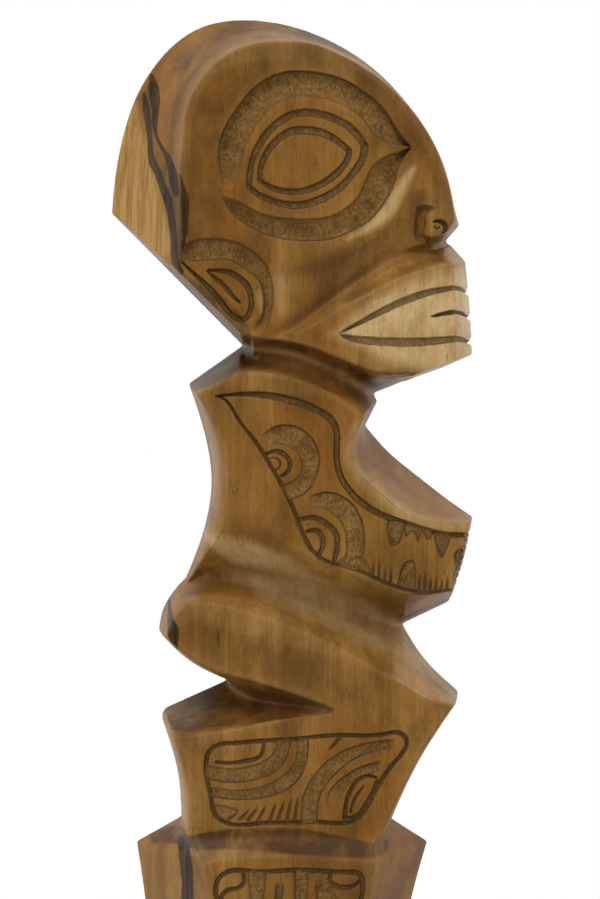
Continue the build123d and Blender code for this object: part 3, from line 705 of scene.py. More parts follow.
def carve_arm(cuts):
    """The arm's outline, its two curled motifs and the ragged fingers across the belly."""
    cuts.groove([(-13.8, 83.7), (-11, 84), (-7.7, 84.1), (-3.1, 83.7), (1.4, 82.6), (5.4, 81), (7.7, 79.5),
                 (8.8, 77.6), (9, 74.6), (9, 71.5), (10, 67.9), (12.3, 64.8), (15.1, 62.5), (18.7, 60.7),
                 (22.9, 59.3), (28, 57.7), (33, 57.3), (38, 57.6)],
                [0.5, 1.3, 1.6, 1.4, 1.3, 1.4, 1.2, 1.2, 1], 0.75, lean=0.25)
    cuts.groove([(-13.6, 83.7), (-12.6, 83.3), (-9.8, 79.5), (-6.7, 75.5), (-3.9, 71.1), (-1.2, 66.4),
                 (1.4, 60.7), (4.1, 54.8), (5.6, 53.2), (11.9, 51), (18.7, 48.1), (22.9, 46.8),
                 (26.7, 46.3), (31.2, 46.9), (36, 47.6)], [0.5, 0.9, 0.9, 0.9, 0.9, 0.8, 0.6], 0.6,
                lean=-0.3)
    cuts.keep_inside([(-13.6, 83.7), (-7.7, 84.1), (-3.1, 83.7), (1.4, 82.6), (5.4, 81), (7.7, 79.5),
                      (8.9, 76), (9, 71.5), (12.3, 64.8), (18.7, 60.9), (22.9, 59.5), (28, 57.9),
                      (33, 57.5), (38, 57.8), (38, 47.6), (31.2, 46.9), (26.7, 46.3), (22.9, 46.8),
                      (18.7, 48.1), (11.9, 51), (5.6, 53.2), (1.4, 60.7), (-1.2, 66.4), (-6.7, 75.5),
                      (-13.6, 83.7)])
    cuts.band([(-4.6, 76.4), (-2, 77.9), (1, 78), (4, 76.2), (5.8, 72.6), (5.3, 68.6), (3, 65.2),
               (0.2, 64)],
              [(-4.9, 73.9), (-2.4, 74.6), (0, 74.1), (1.7, 72.6), (2.2, 70.4), (1.4, 68.4), (0.2, 67.5),
               (-1.2, 67)], 0.65, fade=(0.1, 0), lean=0.35)
    cuts.groove([(-4.6, 72.6), (-2.8, 73.2), (-0.9, 72.6), (0.1, 71), (-0.3, 69.4), (-1.4, 68.6)],
                [0.7, 1.1, 1, 0.8], 0.45, wall=0.2)
    cuts.groove([(-4, 71.8), (-2.8, 72), (-1.8, 71.3), (-1.9, 70.2), (-2.6, 69.6)], [0.3, 0.5, 0.3], 0.25,
                wall=0.2)
    cuts.band([(3.6, 64.6), (6.8, 65.6), (9.6, 65.1), (12.3, 62.9), (13.9, 59.3), (14.3, 55.5),
               (13.9, 52.9), (13, 51)],
              [(4, 62.6), (6.9, 62.1), (9.1, 60.6), (10.5, 58.4), (10.9, 55.2), (10.5, 53), (9.8, 51.9),
               (9, 51.7)], 0.65, fade=(0.1, 0), lean=0.35)
    cuts.groove([(1.8, 60.2), (4.7, 60.6), (7.3, 59.3), (8.9, 57.4), (9.1, 55.2), (8.6, 52.8)],
                [0.9, 1.2, 1.2, 1], 0.45, wall=0.2)
    cuts.groove([(3.4, 58), (5.2, 58.2), (6.3, 56.6), (6.2, 54.8), (5.6, 53.6)], [0.8, 1.1, 0.9], 0.4,
                wall=0.2)
    carve_fingers(cuts)


def carve_fingers(cuts):
    """Ragged recesses between the fingers: tongues above, a heap and strokes below, scallops in front."""
    cuts.recess([(18.4, 60.4), (18.6, 57.4), (19.6, 55.2), (20.8, 55.6), (21.5, 57.6), (22.2, 59.4)], 0.55)
    cuts.recess([(27.2, 57.9), (27.9, 55), (28.9, 52.9), (29.8, 54.2), (30.4, 57.6)], 0.55)
    cuts.recess([(21.7, 59.6), (22.4, 57), (23.4, 58), (24.4, 56), (25.2, 57.6), (26.3, 56.4),
                 (27.4, 57.9)], 0.4, wall=0.3)
    cuts.recess([(20.4, 47.8), (21, 50.2), (22.2, 52.4), (23.3, 52.7), (24, 50), (23.8, 46.9)], 0.5,
                wall=0.6)
    cuts.recess([(10.6, 51.4), (13.4, 50.6), (15.4, 50), (15, 52), (13, 53.4)], 0.35, shade=0.7)
    for k, height in enumerate((3.4, 4.2, 2.6, 3.2, 2.2, 3.0)):
        x = 24.6 + 1.05 * k
        cuts.groove([(x, 46.4), (x + 0.25, 46.8 + height)], [0.8, 0.5], 0.35, fade=(0, 0.5), wall=0.2,
                    shade=0.8)
    for k, height in enumerate((3.8, 4.8, 3.0, 3.6)):
        x = 15.9 + 1.1 * k
        z = 49.1 - 0.38 * k
        cuts.groove([(x, z), (x + 0.1, z + height)], [0.7, 0.4], 0.3, fade=(0, 0.5), wall=0.2, shade=0.8)
    cuts.recess([(32.4, 54.9), (31.2, 53.6), (31.6, 51), (31, 49), (31.6, 47.8), (33, 49), (32.9, 52),
                 (33.4, 54.2)], 0.5)
    for k in range(7):
        z = 48.2 + 1.35 * k
        cuts.groove([(31.4 + 0.25 * k, z), (37, z + 0.2)], 0.75, 0.6, fade=(0.3, 0), wall=0.2)
    cuts.keep_inside()


def carve_leg_panel(cuts):
    """The framed panel on the lower leg: nested hooks, a fringe of strokes, and sweeping leaves in front."""
    frame_line = [(-15.6, 15.6), (-14.7, 16.8), (-10.4, 17.8), (-6.9, 18.1), (1.2, 18.6), (9.4, 19.3),
                  (18, 19.5), (21.4, 19.5), (22.3, 18.3), (20.6, 14.9), (17.2, 10.3), (15, 6.2),
                  (13.3, 3.8), (11.6, 2.8), (6.6, 2.7), (1.7, 2.7), (-6, 2.5), (-11.6, 2.5), (-13.9, 3.9),
                  (-15, 8), (-15.9, 12.6), (-15.6, 15.6)]
    cuts.groove(frame_line, [1, 0.9, 0.9, 0.9, 1, 0.9, 0.9, 1], 0.5, wall=0.25)
    cuts.keep_inside(frame_line)
    cuts.groove([(-13.9, 14.2), (-11, 14), (-8.3, 14.4), (-5.6, 15.3), (-4.8, 17.8)], [0.7, 0.9, 0.8], 0.4,
                wall=0.2)
    cuts.band([(-15.2, 10.8), (-11.8, 10.3), (-8.6, 10.4), (-5.9, 11), (-3, 12.2), (-0.9, 14.2), (0, 16.4),
               (0.4, 18.4)],
              [(-15.2, 13.6), (-11.8, 13), (-8.6, 13.1), (-6.4, 13.6), (-4.4, 14.6), (-3.2, 15.8),
               (-2.9, 17), (-2.8, 18.4)], 0.65, lean=-0.6, wall=0.25)
    cuts.band([(-14.2, 7.5), (-11.3, 7), (-8, 7), (-4.8, 7.4), (-2.1, 8.2), (0.1, 9.3), (1.9, 11),
               (3.2, 13.4), (3.6, 18.4)],
              [(-14.2, 9.5), (-11.3, 9), (-8, 9), (-5.2, 9.6), (-2.8, 10.6), (-0.9, 12), (0.5, 13.6),
               (1.2, 15.4), (1.2, 18.4)], 0.65, lean=-0.6, wall=0.25)
    strokes = [((-11.4, 3.4), (-9.8, 4.6)), ((-9.4, 3.3), (-7.5, 5.2)), ((-7.8, 3.2), (-5.9, 5.7)),
               ((-5.9, 3), (-4.5, 5.9)), ((-3.7, 3), (-2.6, 6.4)), ((-2.1, 3.4), (-0.9, 7)),
               ((-0.4, 3.2), (0.4, 7.4)), ((1, 3), (1.7, 7.8))]
    for start, end in strokes:
        cuts.groove([start, end], [0.9, 0.5], 0.35, fade=(0, 0.3), wall=0.2, shade=0.7)
    cuts.recess([(-14.4, 6.4), (-11.6, 5.8), (-9.6, 5), (-11.6, 3.6), (-13.4, 3.6)], 0.3, wall=0.5,
                shade=0.6)
    cuts.band([(20.4, 18.6), (15, 18), (10.6, 16.6), (7, 14.4), (4.2, 11.2), (2.4, 7.4), (2.2, 3.4)],
              [(19.8, 16.8), (15.4, 15.9), (12, 14.4), (9.2, 12.2), (6.8, 9.4), (5.6, 6.6), (5.4, 3.4)],
              0.6, fade=(0.06, 0), lean=0.3, wall=0.3)
    cuts.band([(18.2, 14.6), (13.6, 13.4), (9.8, 11.2), (7.4, 8.4), (7, 5.2)],
              [(17.2, 12.6), (14, 11.4), (11.2, 9.6), (9.6, 7.6), (9, 5.4)], 0.5, fade=(0.08, 0.3),
              lean=-0.4)
    cuts.groove([(16.6, 11.2), (14.8, 11.6), (13.1, 10.8), (11.8, 9.2), (11, 7.2), (10.6, 5), (10.4, 3.4)],
                [0.6, 0.9, 0.9, 0.8], 0.5, wall=0.2)
    cuts.groove([(10.6, 3.6), (12.9, 4.1), (13.9, 5.2), (15.3, 7.4), (16.6, 10.6)], [0.7, 0.9, 0.7], 0.4,
                wall=0.2)
    cuts.groove([(14.2, 9.7), (12.9, 8), (11.9, 6), (11.6, 4.6)], [0.4, 0.8, 0.5], 0.35, wall=0.2)
    cuts.groove([(9.6, 19), (8.6, 17.6), (7, 16.2)], [0.9, 0.6], 0.4, fade=(0, 0.4), wall=0.2)
    cuts.keep_inside()


def carve_pedestal_panel(cuts):
    """The framed panel on the pedestal: a curl in each upper corner, upright bands with an arch between."""
    top = -6.1
    bottom = -52
    frame_line = [(0, bottom), (-6, bottom), (-11.6, bottom), (-13.4, bottom + 1.6), (-13.7, bottom + 8),
                  (-13.8, -34), (-13.8, -23), (-13.7, -11.7), (-13.4, -7.4), (-12.2, top - 0.2),
                  (-6.7, top + 0.1), (0.1, top + 0.3), (6, top + 0.2), (11, top), (13.3, top - 0.4),
                  (13.8, -8), (13.4, -12), (13.4, -23), (13.4, -34), (13.4, bottom + 8),
                  (13.2, bottom + 1.6), (11.4, bottom), (6, bottom), (0, bottom)]
    cuts.groove(frame_line, 1, 0.5, wall=0.25)
    cuts.keep_inside(frame_line)
    cuts.groove([(-8.6, -6.6), (-8.6, -8), (-9.8, -9.2), (-11.6, -9.5), (-12.7, -10.6), (-12.9, -16)],
                [0.8, 1, 0.9, 0.8], 0.45, wall=0.2)
    cuts.groove([(7.8, -6.4), (7.7, -7.8), (8.7, -8.7), (10.4, -9), (12.2, -8.6), (13.2, -7.8)],
                [0.8, 1.1, 1, 0.7], 0.45, wall=0.2)
    cuts.band([(-8, -6.4), (-7.4, -14), (-8, -30)], [(-4.2, -6.4), (-5, -14), (-5.6, -30)], 0.55,
              fade=(0, 0.1), lean=0.3)
    cuts.groove([(-2.4, -30), (-2.2, -14), (-1.8, -8)], [1.4, 1.8, 1.6], 0.5, fade=(0, 0.05))
    cuts.band([(0.9, -6.4), (1, -20), (1.6, -30)], [(3.6, -6.4), (3.8, -20), (4.4, -30)], 0.6,
              fade=(0, 0.1), lean=-0.3)
    cuts.band([(4.7, -7.4), (5.4, -13), (8.4, -20), (9.4, -30)],
              [(7.3, -7.4), (9.4, -12), (12.4, -18), (12.6, -30)], 0.5, fade=(0.05, 0.1), lean=-0.3)
    cuts.keep_inside()


def paint_wear_and_highlights(cuts):
    """Paler wood worn by handling, and painted highlights and sheen: mouth, rim under the eye, belly's edge,
    crown and waist.
    """
    cuts.paint(
        "wear_and_highlight",
        # The mouth's face: paler wood with a painted sheen over it.
        ([(8, 95.6), (14, 96.4), (24, 97.2), (34, 98)], [2, 7.5, 12, 13], 1, 5),
        # Painted highlights along the rim under the eye, the belly's edge, the upper lip's ridge and the
        # ear's rim.
        ([(23.8, 127.6), (22, 124.8), (20.2, 121.6), (18, 118.6), (15, 116), (11, 113.8)],
         [1.2, 1.8, 2.2, 2, 1.5, 0.8], 0.8, 1.9),
        ([(13.4, 78), (12, 72), (14.6, 67.4), (20, 62.6), (26, 59.4), (34.6, 58.9)], 2.4, 0.4),
        ([(16, 101.6), (21, 103.4), (26, 104.9), (32, 106)], 0.8, 0.9, 0.9),
        ([(-1.8, 106), (-1.6, 101)], 3, 0.25),
        ([(-5.6, 103.6), (-5.2, 100)], 1.2, 0.4),
        # Painted sheen on the upward facets of the waist and the thigh, and a painted highlight on the neck's
        # ridge.
        ([(-17.6, 57.6), (-9, 53.8), (0, 50.4), (7, 47.6)], [1.6, 3.8, 3.6, 1.6], 0.6, 2.6),
        ([(-12, 50), (0, 46.4), (12, 41.6), (24, 34.6), (31, 28.4)], [2, 4.6, 5, 4.6, 2], 0.5, 3),
        ([(-6.6, 92.8), (-1.4, 92.2), (3, 91.1), (6.8, 89.5), (10, 88.1), (13.5, 86.1)], 0.8, 0.25),
    )
    cuts.keep_inside([(-21, 112), (-20.9, 123.3), (-20.3, 131.7), (-19.4, 137.9), (-16.6, 143.9),
                      (-13.2, 147.5), (-8.8, 150.1), (-2, 151.3), (5.2, 150.9), (8, 153.4), (-2, 156),
                      (-12, 154.6), (-20, 149), (-24.6, 140), (-25.4, 128), (-24, 116), (-21, 112)])
    # Painted sheen along the crease of the crown.
    cuts.paint("wear_and_highlight",
               ([(-21, 118), (-20.6, 129), (-19.4, 137.9), (-15.6, 145.4), (-8.8, 150.1), (4, 151.2)],
                [0.6, 2.6, 3, 3, 2.4, 1], 0.15, 2.4))
    cuts.keep_inside()


def paint_stain_and_shade(cuts):
    """Darker wood and painted shade: on the crown and shoulders, round the face, on the calf's top and the
    pedestal's rim.
    """
    cuts.paint(
        "stain_and_shade",
        ([(-20, 149), (-10, 156), (0, 156), (10, 152.8)], 5, 0.9),
        ([(-17, 110), (-16.6, 124), (-15, 136), (-8, 146.4), (4, 149), (16, 143.4)], 7, 0.5),
        ([(-23, 120), (-22.8, 130), (-21.6, 139), (-17.6, 147), (-10, 152.6), (0, 154)],
         [2, 3.4, 3.6, 3.6, 3, 2.4], 0.6),
        ([(23, 139), (27, 131), (29, 124)], [2, 3.5, 2], 0.4),
        # Painted shade in the cheek's hollow, along its stop-cut, behind the nose wing, on the mouth's upper
        # bevel and front, and under the head.
        ([(-2, 107), (6, 109), (14, 112.4), (21, 117)], [2, 3, 3, 2.5], 0.5),
        ([(22.6, 116.4), (16, 109.4), (6, 102), (-1, 97.4)], 1.6, 0.4),
        ([(24, 122), (23.2, 117)], 2.6, 0.4),
        ([(11, 102.4), (17.2, 105.6), (24, 108.6), (30, 110.4)], 1.4, 0.5, 1.2),
        ([(35.4, 108), (36, 100), (35.4, 92)], 2.2, 0.5, 3),
        ([(16, 87), (22, 88.4), (32, 91.4)], 1.4, 0.6, 0.8),
        # Painted shade in the waist's valley.
        ([(-20, 63), (-12, 60), (-2, 56)], [2, 4, 2.5], 0.4),
        ([(-19, 39), (-4, 35.4), (14, 26)], 6, 0.4),
        # Painted shadow of the chin on the shoulder, and painted shade in the neck's coves and under the
        # chin.
        ([(-19.6, 85.6), (-14, 88.4), (-9, 91.8)], [1.6, 2.4, 2.6], 1, 0.8),
        ([(-8.6, 90.6), (-2.4, 90), (2, 89.1), (6, 87.5), (9.7, 85.8), (14.4, 82.6)], 2.4, 0.6, 1.4),
        ([(-9, 94.2), (-1.4, 93.5), (3.5, 92.4), (8.1, 90.5), (12.5, 88.7), (17, 86.2)], 1.5, 1, 0.9),
        # Painted shade over the lit lower edge of the thigh and the lit facet at the nape.
        ([(-12, 30.4), (-6, 28.9), (-1.5, 27.6), (4.7, 25.4), (8, 24.2)], 0.9, 0.6),
        ([(-34, 118.6), (-21, 106.2), (-9, 94.8), (-8.6, 90)], [0.8, 1, 2.2, 2.2], 0.9, 0.8),
    )
    # Painted shadow of the thigh on the calf's top.
    cuts.keep_inside([(-25.4, 22), (-21.6, 19.8), (-16.5, 19.8), (-10.5, 20.6), (-2.9, 22.1), (8.4, 24.1),
                      (-1.5, 27.8), (-12.4, 30.6), (-20, 26.4), (-25.4, 22)])
    cuts.paint("stain_and_shade", ([(-25, 22.6), (-14, 24), (-4, 25), (8, 24.6)], 5, 0.9, 2))
    cuts.keep_inside()
    # Painted shadow of the calf on the pedestal's rim.
    cuts.paint("stain_and_shade", ([(-27, -3.4), (-21, -1.6), (0, -0.6), (18, -2.6)], [1.2, 2, 2.6, 1.4], 1, 0.6))


def streak_wood(cuts):
    """Two lines of old heartwood down the back of the head, olive wood between them, and sapwood behind."""
    cuts.paint("sap", ([(-33, 141), (-32, 130), (-30, 121), (-25, 113)], [4, 6, 7.5, 4], 1, 2.5))
    cuts.paint("stain_and_shade",
               ([(-27.6, 146), (-26.6, 137), (-25.4, 130), (-22.6, 123), (-20.6, 116), (-20.6, 110)],
                [1.2, 1.4, 1.5, 1.7, 2.4, 1.8], 0.85, 0.8))
    cuts.paint(
        "streak",
        ([(-29.1, 144.6), (-27.8, 137.1), (-27.4, 134.1), (-27, 130.3), (-25.7, 127.5), (-24.2, 123.6),
          (-23.1, 120.6), (-22.3, 116.4), (-21.9, 112.4), (-21.6, 109.3), (-20.5, 107.2)],
         [0.5, 0.9, 0.75, 0.75, 0.95, 0.9, 1, 0.95, 0.9, 1, 0.7], 1, 0.35),
        ([(-27.7, 148.2), (-26.6, 143), (-26.4, 139.2), (-26.3, 135.7), (-25.3, 133.1), (-23.6, 130),
          (-22.7, 127.6), (-22, 124.6), (-21.4, 122)], [0.7, 1.35, 1.2, 0.85, 0.5, 0.6, 0.9, 1.25, 0.7], 1,
         0.45),
        ([(-20.8, 126), (-19.8, 121), (-19.8, 115), (-20.2, 110.6)], [0.8, 1.5, 1.4, 0.8], 0.9, 1.5),
        ([(-23.8, 43.6), (-22.2, 39.4), (-21.8, 34.6)], [0.8, 1.6, 0.8], 0.8, 0.7),
        ([(-14, 42), (-13.4, 37), (-13.6, 33)], [0.3, 0.6, 0.3], 0.5, 0.4),
        ([(-20.4, -2.6), (-19.6, -8), (-19.8, -14), (-19.2, -22), (-19.6, -44)], [2.2, 2.2, 1.4, 1.2, 0.8],
         0.85, 1.6),
    )


def carve(x, z):
    """Every cut of the carving, over points of the side sheet."""
    cuts = Cuts(x, z)
    for section in (
        carve_eye,
        carve_ear,
        carve_nose,
        carve_mouth,
        carve_arm,
        carve_leg_panel,
        carve_pedestal_panel,
        carve_neck,
        paint_wear_and_highlights,
        paint_stain_and_shade,
        streak_wood,
    ):
        section(cuts)
    return cuts


# ---- meshes -----------------------------------------------------------------------------------------------


def surface_normals(points):
    """Normals of a grid that closes on itself along its rows: the cross product of its two directions."""
    along = np.roll(points, -1, axis=1) - np.roll(points, 1, axis=1)
    up = np.gradient(points, axis=0)
    normals = np.cross(along, up)
    length = np.linalg.norm(normals, axis=2, keepdims=True)
    return normals / np.maximum(length, 1e-12)


def hollowness(points, stride=4, passes=10):
    """How far each point lies below the average of its surroundings, along the normal: above 0 in hollows."""
    coarse = points[::stride, ::stride]
    wide = coarse
    for _pass in range(passes):
        wide = averaged(averaged(wide, 0), 1, wrap=True)
    below = ((wide - coarse) * surface_normals(coarse)).sum(axis=2)
    rows = np.arange(points.shape[0]) / stride
    cols = np.arange(points.shape[1]) / stride
    r0 = np.minimum(rows.astype(int), below.shape[0] - 1)
    r1 = np.minimum(r0 + 1, below.shape[0] - 1)
    c0 = cols.astype(int) % below.shape[1]
    c1 = (c0 + 1) % below.shape[1]
    fr = (rows - r0)[:, None]
    fc = (cols - cols.astype(int))[None, :]
    near = below[np.ix_(r0, c0)] * (1 - fc) + below[np.ix_(r0, c1)] * fc
    far = below[np.ix_(r1, c0)] * (1 - fc) + below[np.ix_(r1, c1)] * fc
    return near * (1 - fr) + far * fr


def grid_mesh(name, points, normals, values):
    """A mesh of four-sided faces over a grid that closes on itself along its rows."""
    rows, cols = points.shape[:2]
    left = np.arange(rows * cols).reshape(rows, cols)
    right = np.roll(left, -1, axis=1)
    quads = np.stack([left[:-1], right[:-1], right[1:], left[1:]], axis=-1).reshape(-1, 4)
    mesh = bpy.data.meshes.new(name)
    mesh.vertices.add(rows * cols)
    mesh.vertices.foreach_set("co", points.astype(np.float32).ravel())
    mesh.loops.add(quads.size)
    mesh.loops.foreach_set("vertex_index", quads.astype(np.int32).ravel())
    mesh.polygons.add(len(quads))
    mesh.polygons.foreach_set("loop_start", np.arange(0, quads.size, 4, dtype=np.int32))
    mesh.update(calc_edges=True)
    mesh.shade_smooth()
    for key, value in values.items():
        layer = mesh.attributes.new(key, "FLOAT", "POINT")
        layer.data.foreach_set("value", value.astype(np.float32).ravel())
    mesh.normals_split_custom_set_from_vertices(normals.reshape(-1, 3).tolist())
    piece = bpy.data.objects.new(name, mesh)
    bpy.context.collection.objects.link(piece)
    return piece


# ---- materials --------------------------------------------------------------------------------------------


class Shader:
    """A node material that is built by name: node(type, inputs) makes a node and wires what it is given."""

    def __init__(self, name):
        self.material = bpy.data.materials.new(name)
        self.material.use_nodes = True
        self.tree = self.material.node_tree
        self.tree.nodes.clear()
        self.coords = self.node("ShaderNodeTexCoord")

    def node(self, kind, inputs=None, **settings):
        made = self.tree.nodes.new(kind)
        for key, value in settings.items():
            setattr(made, key, value)
        for key, value in (inputs or {}).items():
            socket = made.inputs[key]
            if isinstance(value, bpy.types.NodeSocket):
                self.tree.links.new(value, socket)
            else:
                socket.default_value = value
        return made

    def mapped(self, scale=(1, 1, 1), rotation=(0, 0, 0), location=(0, 0, 0)):
        inputs = {"Vector": self.coords.outputs["Object"], "Scale": scale, "Rotation": rotation}
        inputs["Location"] = location
        return self.node("ShaderNodeMapping", inputs).outputs["Vector"]

    def noise(self, vector, scale, detail=3.0, roughness=0.55, distortion=0.0):
        inputs = {"Vector": vector, "Scale": scale, "Detail": detail, "Roughness": roughness}
        inputs["Distortion"] = distortion
        return self.node("ShaderNodeTexNoise", inputs).outputs["Fac"]

    def ramp(self, value, low, high, out_low=0.0, out_high=1.0):
        inputs = {"Value": value, "From Min": low, "From Max": high, "To Min": out_low, "To Max": out_high}
        return self.node("ShaderNodeMapRange", inputs, interpolation_type="SMOOTHSTEP").outputs["Result"]

    def math(self, operation, a, b=0.0, c=0.0):
        return self.node("ShaderNodeMath", {0: a, 1: b, 2: c}, operation=operation).outputs[0]

    def weighted(self, a, share_a, b, share_b):
        return self.math("MULTIPLY_ADD", a, share_a, self.math("MULTIPLY", b, share_b))

    def mix(self, factor, a, b):
        made = self.node("ShaderNodeMix", data_type="RGBA")
        for index, value in ((0, factor), (6, a), (7, b)):
            socket = made.inputs[index]
            if isinstance(value, bpy.types.NodeSocket):
                self.tree.links.new(value, socket)
            elif index == 0:
                socket.default_value = value
            else:
                socket.default_value = (*value[:3], 1.0)
        return made.outputs[2]

    def attribute(self, name):
        return self.node("ShaderNodeAttribute", attribute_name=name).outputs["Fac"]

    def bump(self, height, strength, distance):
        inputs = {"Height": height, "Strength": strength, "Distance": distance}
        return self.node("ShaderNodeBump", inputs).outputs["Normal"]

    def principled(self, inputs):
        shader = self.node("ShaderNodeBsdfPrincipled", inputs)
        output = self.node("ShaderNodeOutputMaterial")
        self.tree.links.new(shader.outputs[0], output.inputs["Surface"])
        return self.material


def srgb(red, green, blue):
    """A colour given as 0 to 255 on screen, as the linear values that a shader takes."""
    values = np.array([red, green, blue]) / 255
    linear = np.where(values <= 0.04045, values / 12.92, ((values + 0.055) / 1.055) ** 2.4)
    return tuple(float(v) for v in linear)


def carved_wood(colours):
    """Oiled rosewood: upright fibre, fine dark pores and clouds, coloured further by the carving's marks,
    which also paint shade, shadows and highlights.

    The growth layers stand upright and run slantwise through the plank, so one pattern, stretched along
    z and along the layers, serves its side, its back and its bevels.
    """
    s = Shader("carved wood")
    turn = (0, 0, -LAYER_TURN)
    growth = s.noise(s.mapped(scale=(1, 0.18, 0.05), rotation=turn), 210.0, 3.0, 0.55, 0.3)
    fibre = s.noise(s.mapped(scale=(1, 0.5, 0.03), rotation=turn), 1300.0, 3.0, 0.6)
    clouds = s.noise(s.mapped(scale=(1, 0.7, 0.55), location=(0.3, 0.1, 0.7)), 42.0, 3.0, 0.5)
    drifts = s.noise(s.mapped(scale=(1, 0.7, 0.6), location=(0.9, 0.4, 0.2)), 75.0, 4.0, 0.55, 0.6)
    mottle = s.noise(s.mapped(scale=(1, 1, 0.7)), 260.0, 4.0, 0.6)
    base = s.mix(s.ramp(growth, 0.3, 0.7), colours["heart"], colours["pale"])
    base = s.mix(s.ramp(clouds, 0.36, 0.66, 0.0, 0.75), base, colours["red"])
    base = s.mix(s.ramp(drifts, 0.46, 0.7, 0.0, 0.7), base, colours["shade"])
    base = s.mix(s.ramp(mottle, 0.4, 0.75, 0.0, 0.35), base, colours["shade"])
    base = s.mix(s.ramp(fibre, 0.35, 0.75, 0.0, 0.3), base, colours["shade"])
    pores = s.noise(s.mapped(scale=(1, 0.4, 0.13)), 3600.0, 1.0, 0.5)
    pore = s.ramp(pores, 0.62, 0.72)
    base = s.mix(s.math("MULTIPLY", pore, 0.4), base, colours["pore"])

    sap = s.mix(s.ramp(fibre, 0.3, 0.7), colours["sap"], colours["heart"])
    base = s.mix(s.math("MULTIPLY", s.attribute("sap"), 0.8), base, sap)
    # Darkened wood and painted shade and shadows, broken into blotches.
    blotch = s.ramp(s.weighted(mottle, 0.5, drifts, 0.5), 0.4, 0.56, 0.45, 1.0)
    base = s.mix(s.math("MULTIPLY", s.attribute("stain_and_shade"), blotch), base, colours["stain_and_shade"])
    hollow = s.attribute("hollow")
    # Painted shade, with oil kept in the hollows: darker where the surface lies below its surroundings.
    base = s.mix(s.ramp(hollow, 0.06, 0.6, 0.0, 0.2), base, colours["deep"])
    # Paler where worn, with painted highlights and sheen; bulging places are paled a little as painted
    # highlight.
    worn = s.math("MAXIMUM", s.attribute("wear_and_highlight"), s.ramp(hollow, -0.6, -0.2, 0.08, 0.0))
    uneven = s.ramp(s.weighted(fibre, 0.3, mottle, 0.7), 0.36, 0.68, 0.0, 0.65)
    rubbed_and_highlit = s.mix(uneven, colours["worn"], colours["pale"])
    base = s.mix(s.math("MULTIPLY", worn, 0.85), base, rubbed_and_highlit)
    base = s.mix(s.math("MULTIPLY", pore, s.math("MULTIPLY", worn, 0.4)), base, colours["pore"])
    ragged = s.math("MULTIPLY_ADD", fibre, 0.5, mottle)
    ragged = s.math("MULTIPLY_ADD", ragged, 0.7, s.attribute("streak"))
    broken = s.math("MULTIPLY", s.ramp(ragged, 0.84, 1.2), s.ramp(fibre, 0.3, 0.65, 1.0, 0.7))
    base = s.mix(broken, base, colours["streak"])

    ground = s.attribute("ground")
    seam = s.attribute("seam")
    marks = s.noise(s.mapped(scale=(1, 1, 0.6)), 2400.0, 2.0, 0.6)
    broad = s.noise(s.mapped(scale=(1, 1, 1)), 420.0, 3.0, 0.6)
    dust = s.weighted(s.attribute("tool"), 0.05, marks, 0.5)
    dust = s.math("MULTIPLY_ADD", broad, 0.45, dust)
    chiselled = s.mix(s.ramp(dust, 0.38, 0.66), colours["ground_dark"], colours["ground_pale"])
    base = s.mix(s.math("MULTIPLY", ground, 0.72), base, chiselled)
    # Patina and painted shade along the edges of the cuts.
    base = s.mix(s.math("MULTIPLY", seam, s.ramp(broad, 0.35, 0.62, 0.5, 0.95)), base, colours["seam"])

    height = s.weighted(pore, -0.6, fibre, 0.25)
    height = s.math("MULTIPLY_ADD", s.math("MULTIPLY", marks, ground), 1.2, height)
    height = s.math("MULTIPLY_ADD", mottle, 0.5, height)
    normal = s.bump(height, 0.3, 0.00015)
    roughness = s.math("MULTIPLY_ADD", ground, 0.2, s.ramp(clouds, 0.3, 0.7, 0.36, 0.46))
    inputs = {"Base Color": base, "Roughness": roughness, "Normal": normal, "Specular IOR Level": 0.07}
    return s.principled(inputs)


def grained_wood(name, pale, dark, along, scale, roughness):
    """Plain planed wood: growth bands and fibre stretched along one axis."""
    s = Shader(name)
    stretch = [1.0, 1.0, 1.0]
    stretch[along] = 0.06
    growth = s.noise(s.mapped(scale=stretch), scale, 4.0, 0.55, 0.5)
    fibre = s.noise(s.mapped(scale=stretch), scale * 9.0, 2.0, 0.6)
    base = s.mix(s.ramp(growth, 0.32, 0.7), dark, pale)
    base = s.mix(s.ramp(fibre, 0.4, 0.8, 0.0, 0.35), base, dark)
    normal = s.bump(fibre, 0.15, 0.0001)
    return s.principled({"Base Color": base, "Roughness": roughness, "Normal": normal})


def turned_steel(name, colour, roughness):
    """Zinc-plated steel with faint turning rings."""
    s = Shader(name)
    rings = s.noise(s.mapped(scale=(1, 1, 0.1)), 1500.0, 2.0, 0.5)
    base = s.mix(s.ramp(rings, 0.3, 0.7, 0.0, 0.25), colour, [0.8 * value for value in colour])
    return s.principled({"Base Color": base, "Metallic": 1.0, "Roughness": roughness})


def pressed_felt(name, colour):
    """Dark felt: short matted fibres that show as speckle and bump."""
    s = Shader(name)
    fluff = s.noise(s.mapped(), 2600.0, 3.0, 0.7)
    base = s.mix(s.ramp(fluff, 0.3, 0.7), [0.6 * value for value in colour], colour)
    normal = s.bump(fluff, 0.6, 0.0003)
    return s.principled({"Base Color": base, "Roughness": 0.95, "Normal": normal, "Sheen Weight": 0.3})


# ---- settings ---------------------------------------------------------------------------------------------


def colour_setting(name, description, red, green, blue):
    return FloatVectorProperty(name=name, description=description, subtype="COLOR", size=3,
                               default=srgb(red, green, blue), min=0, max=1)


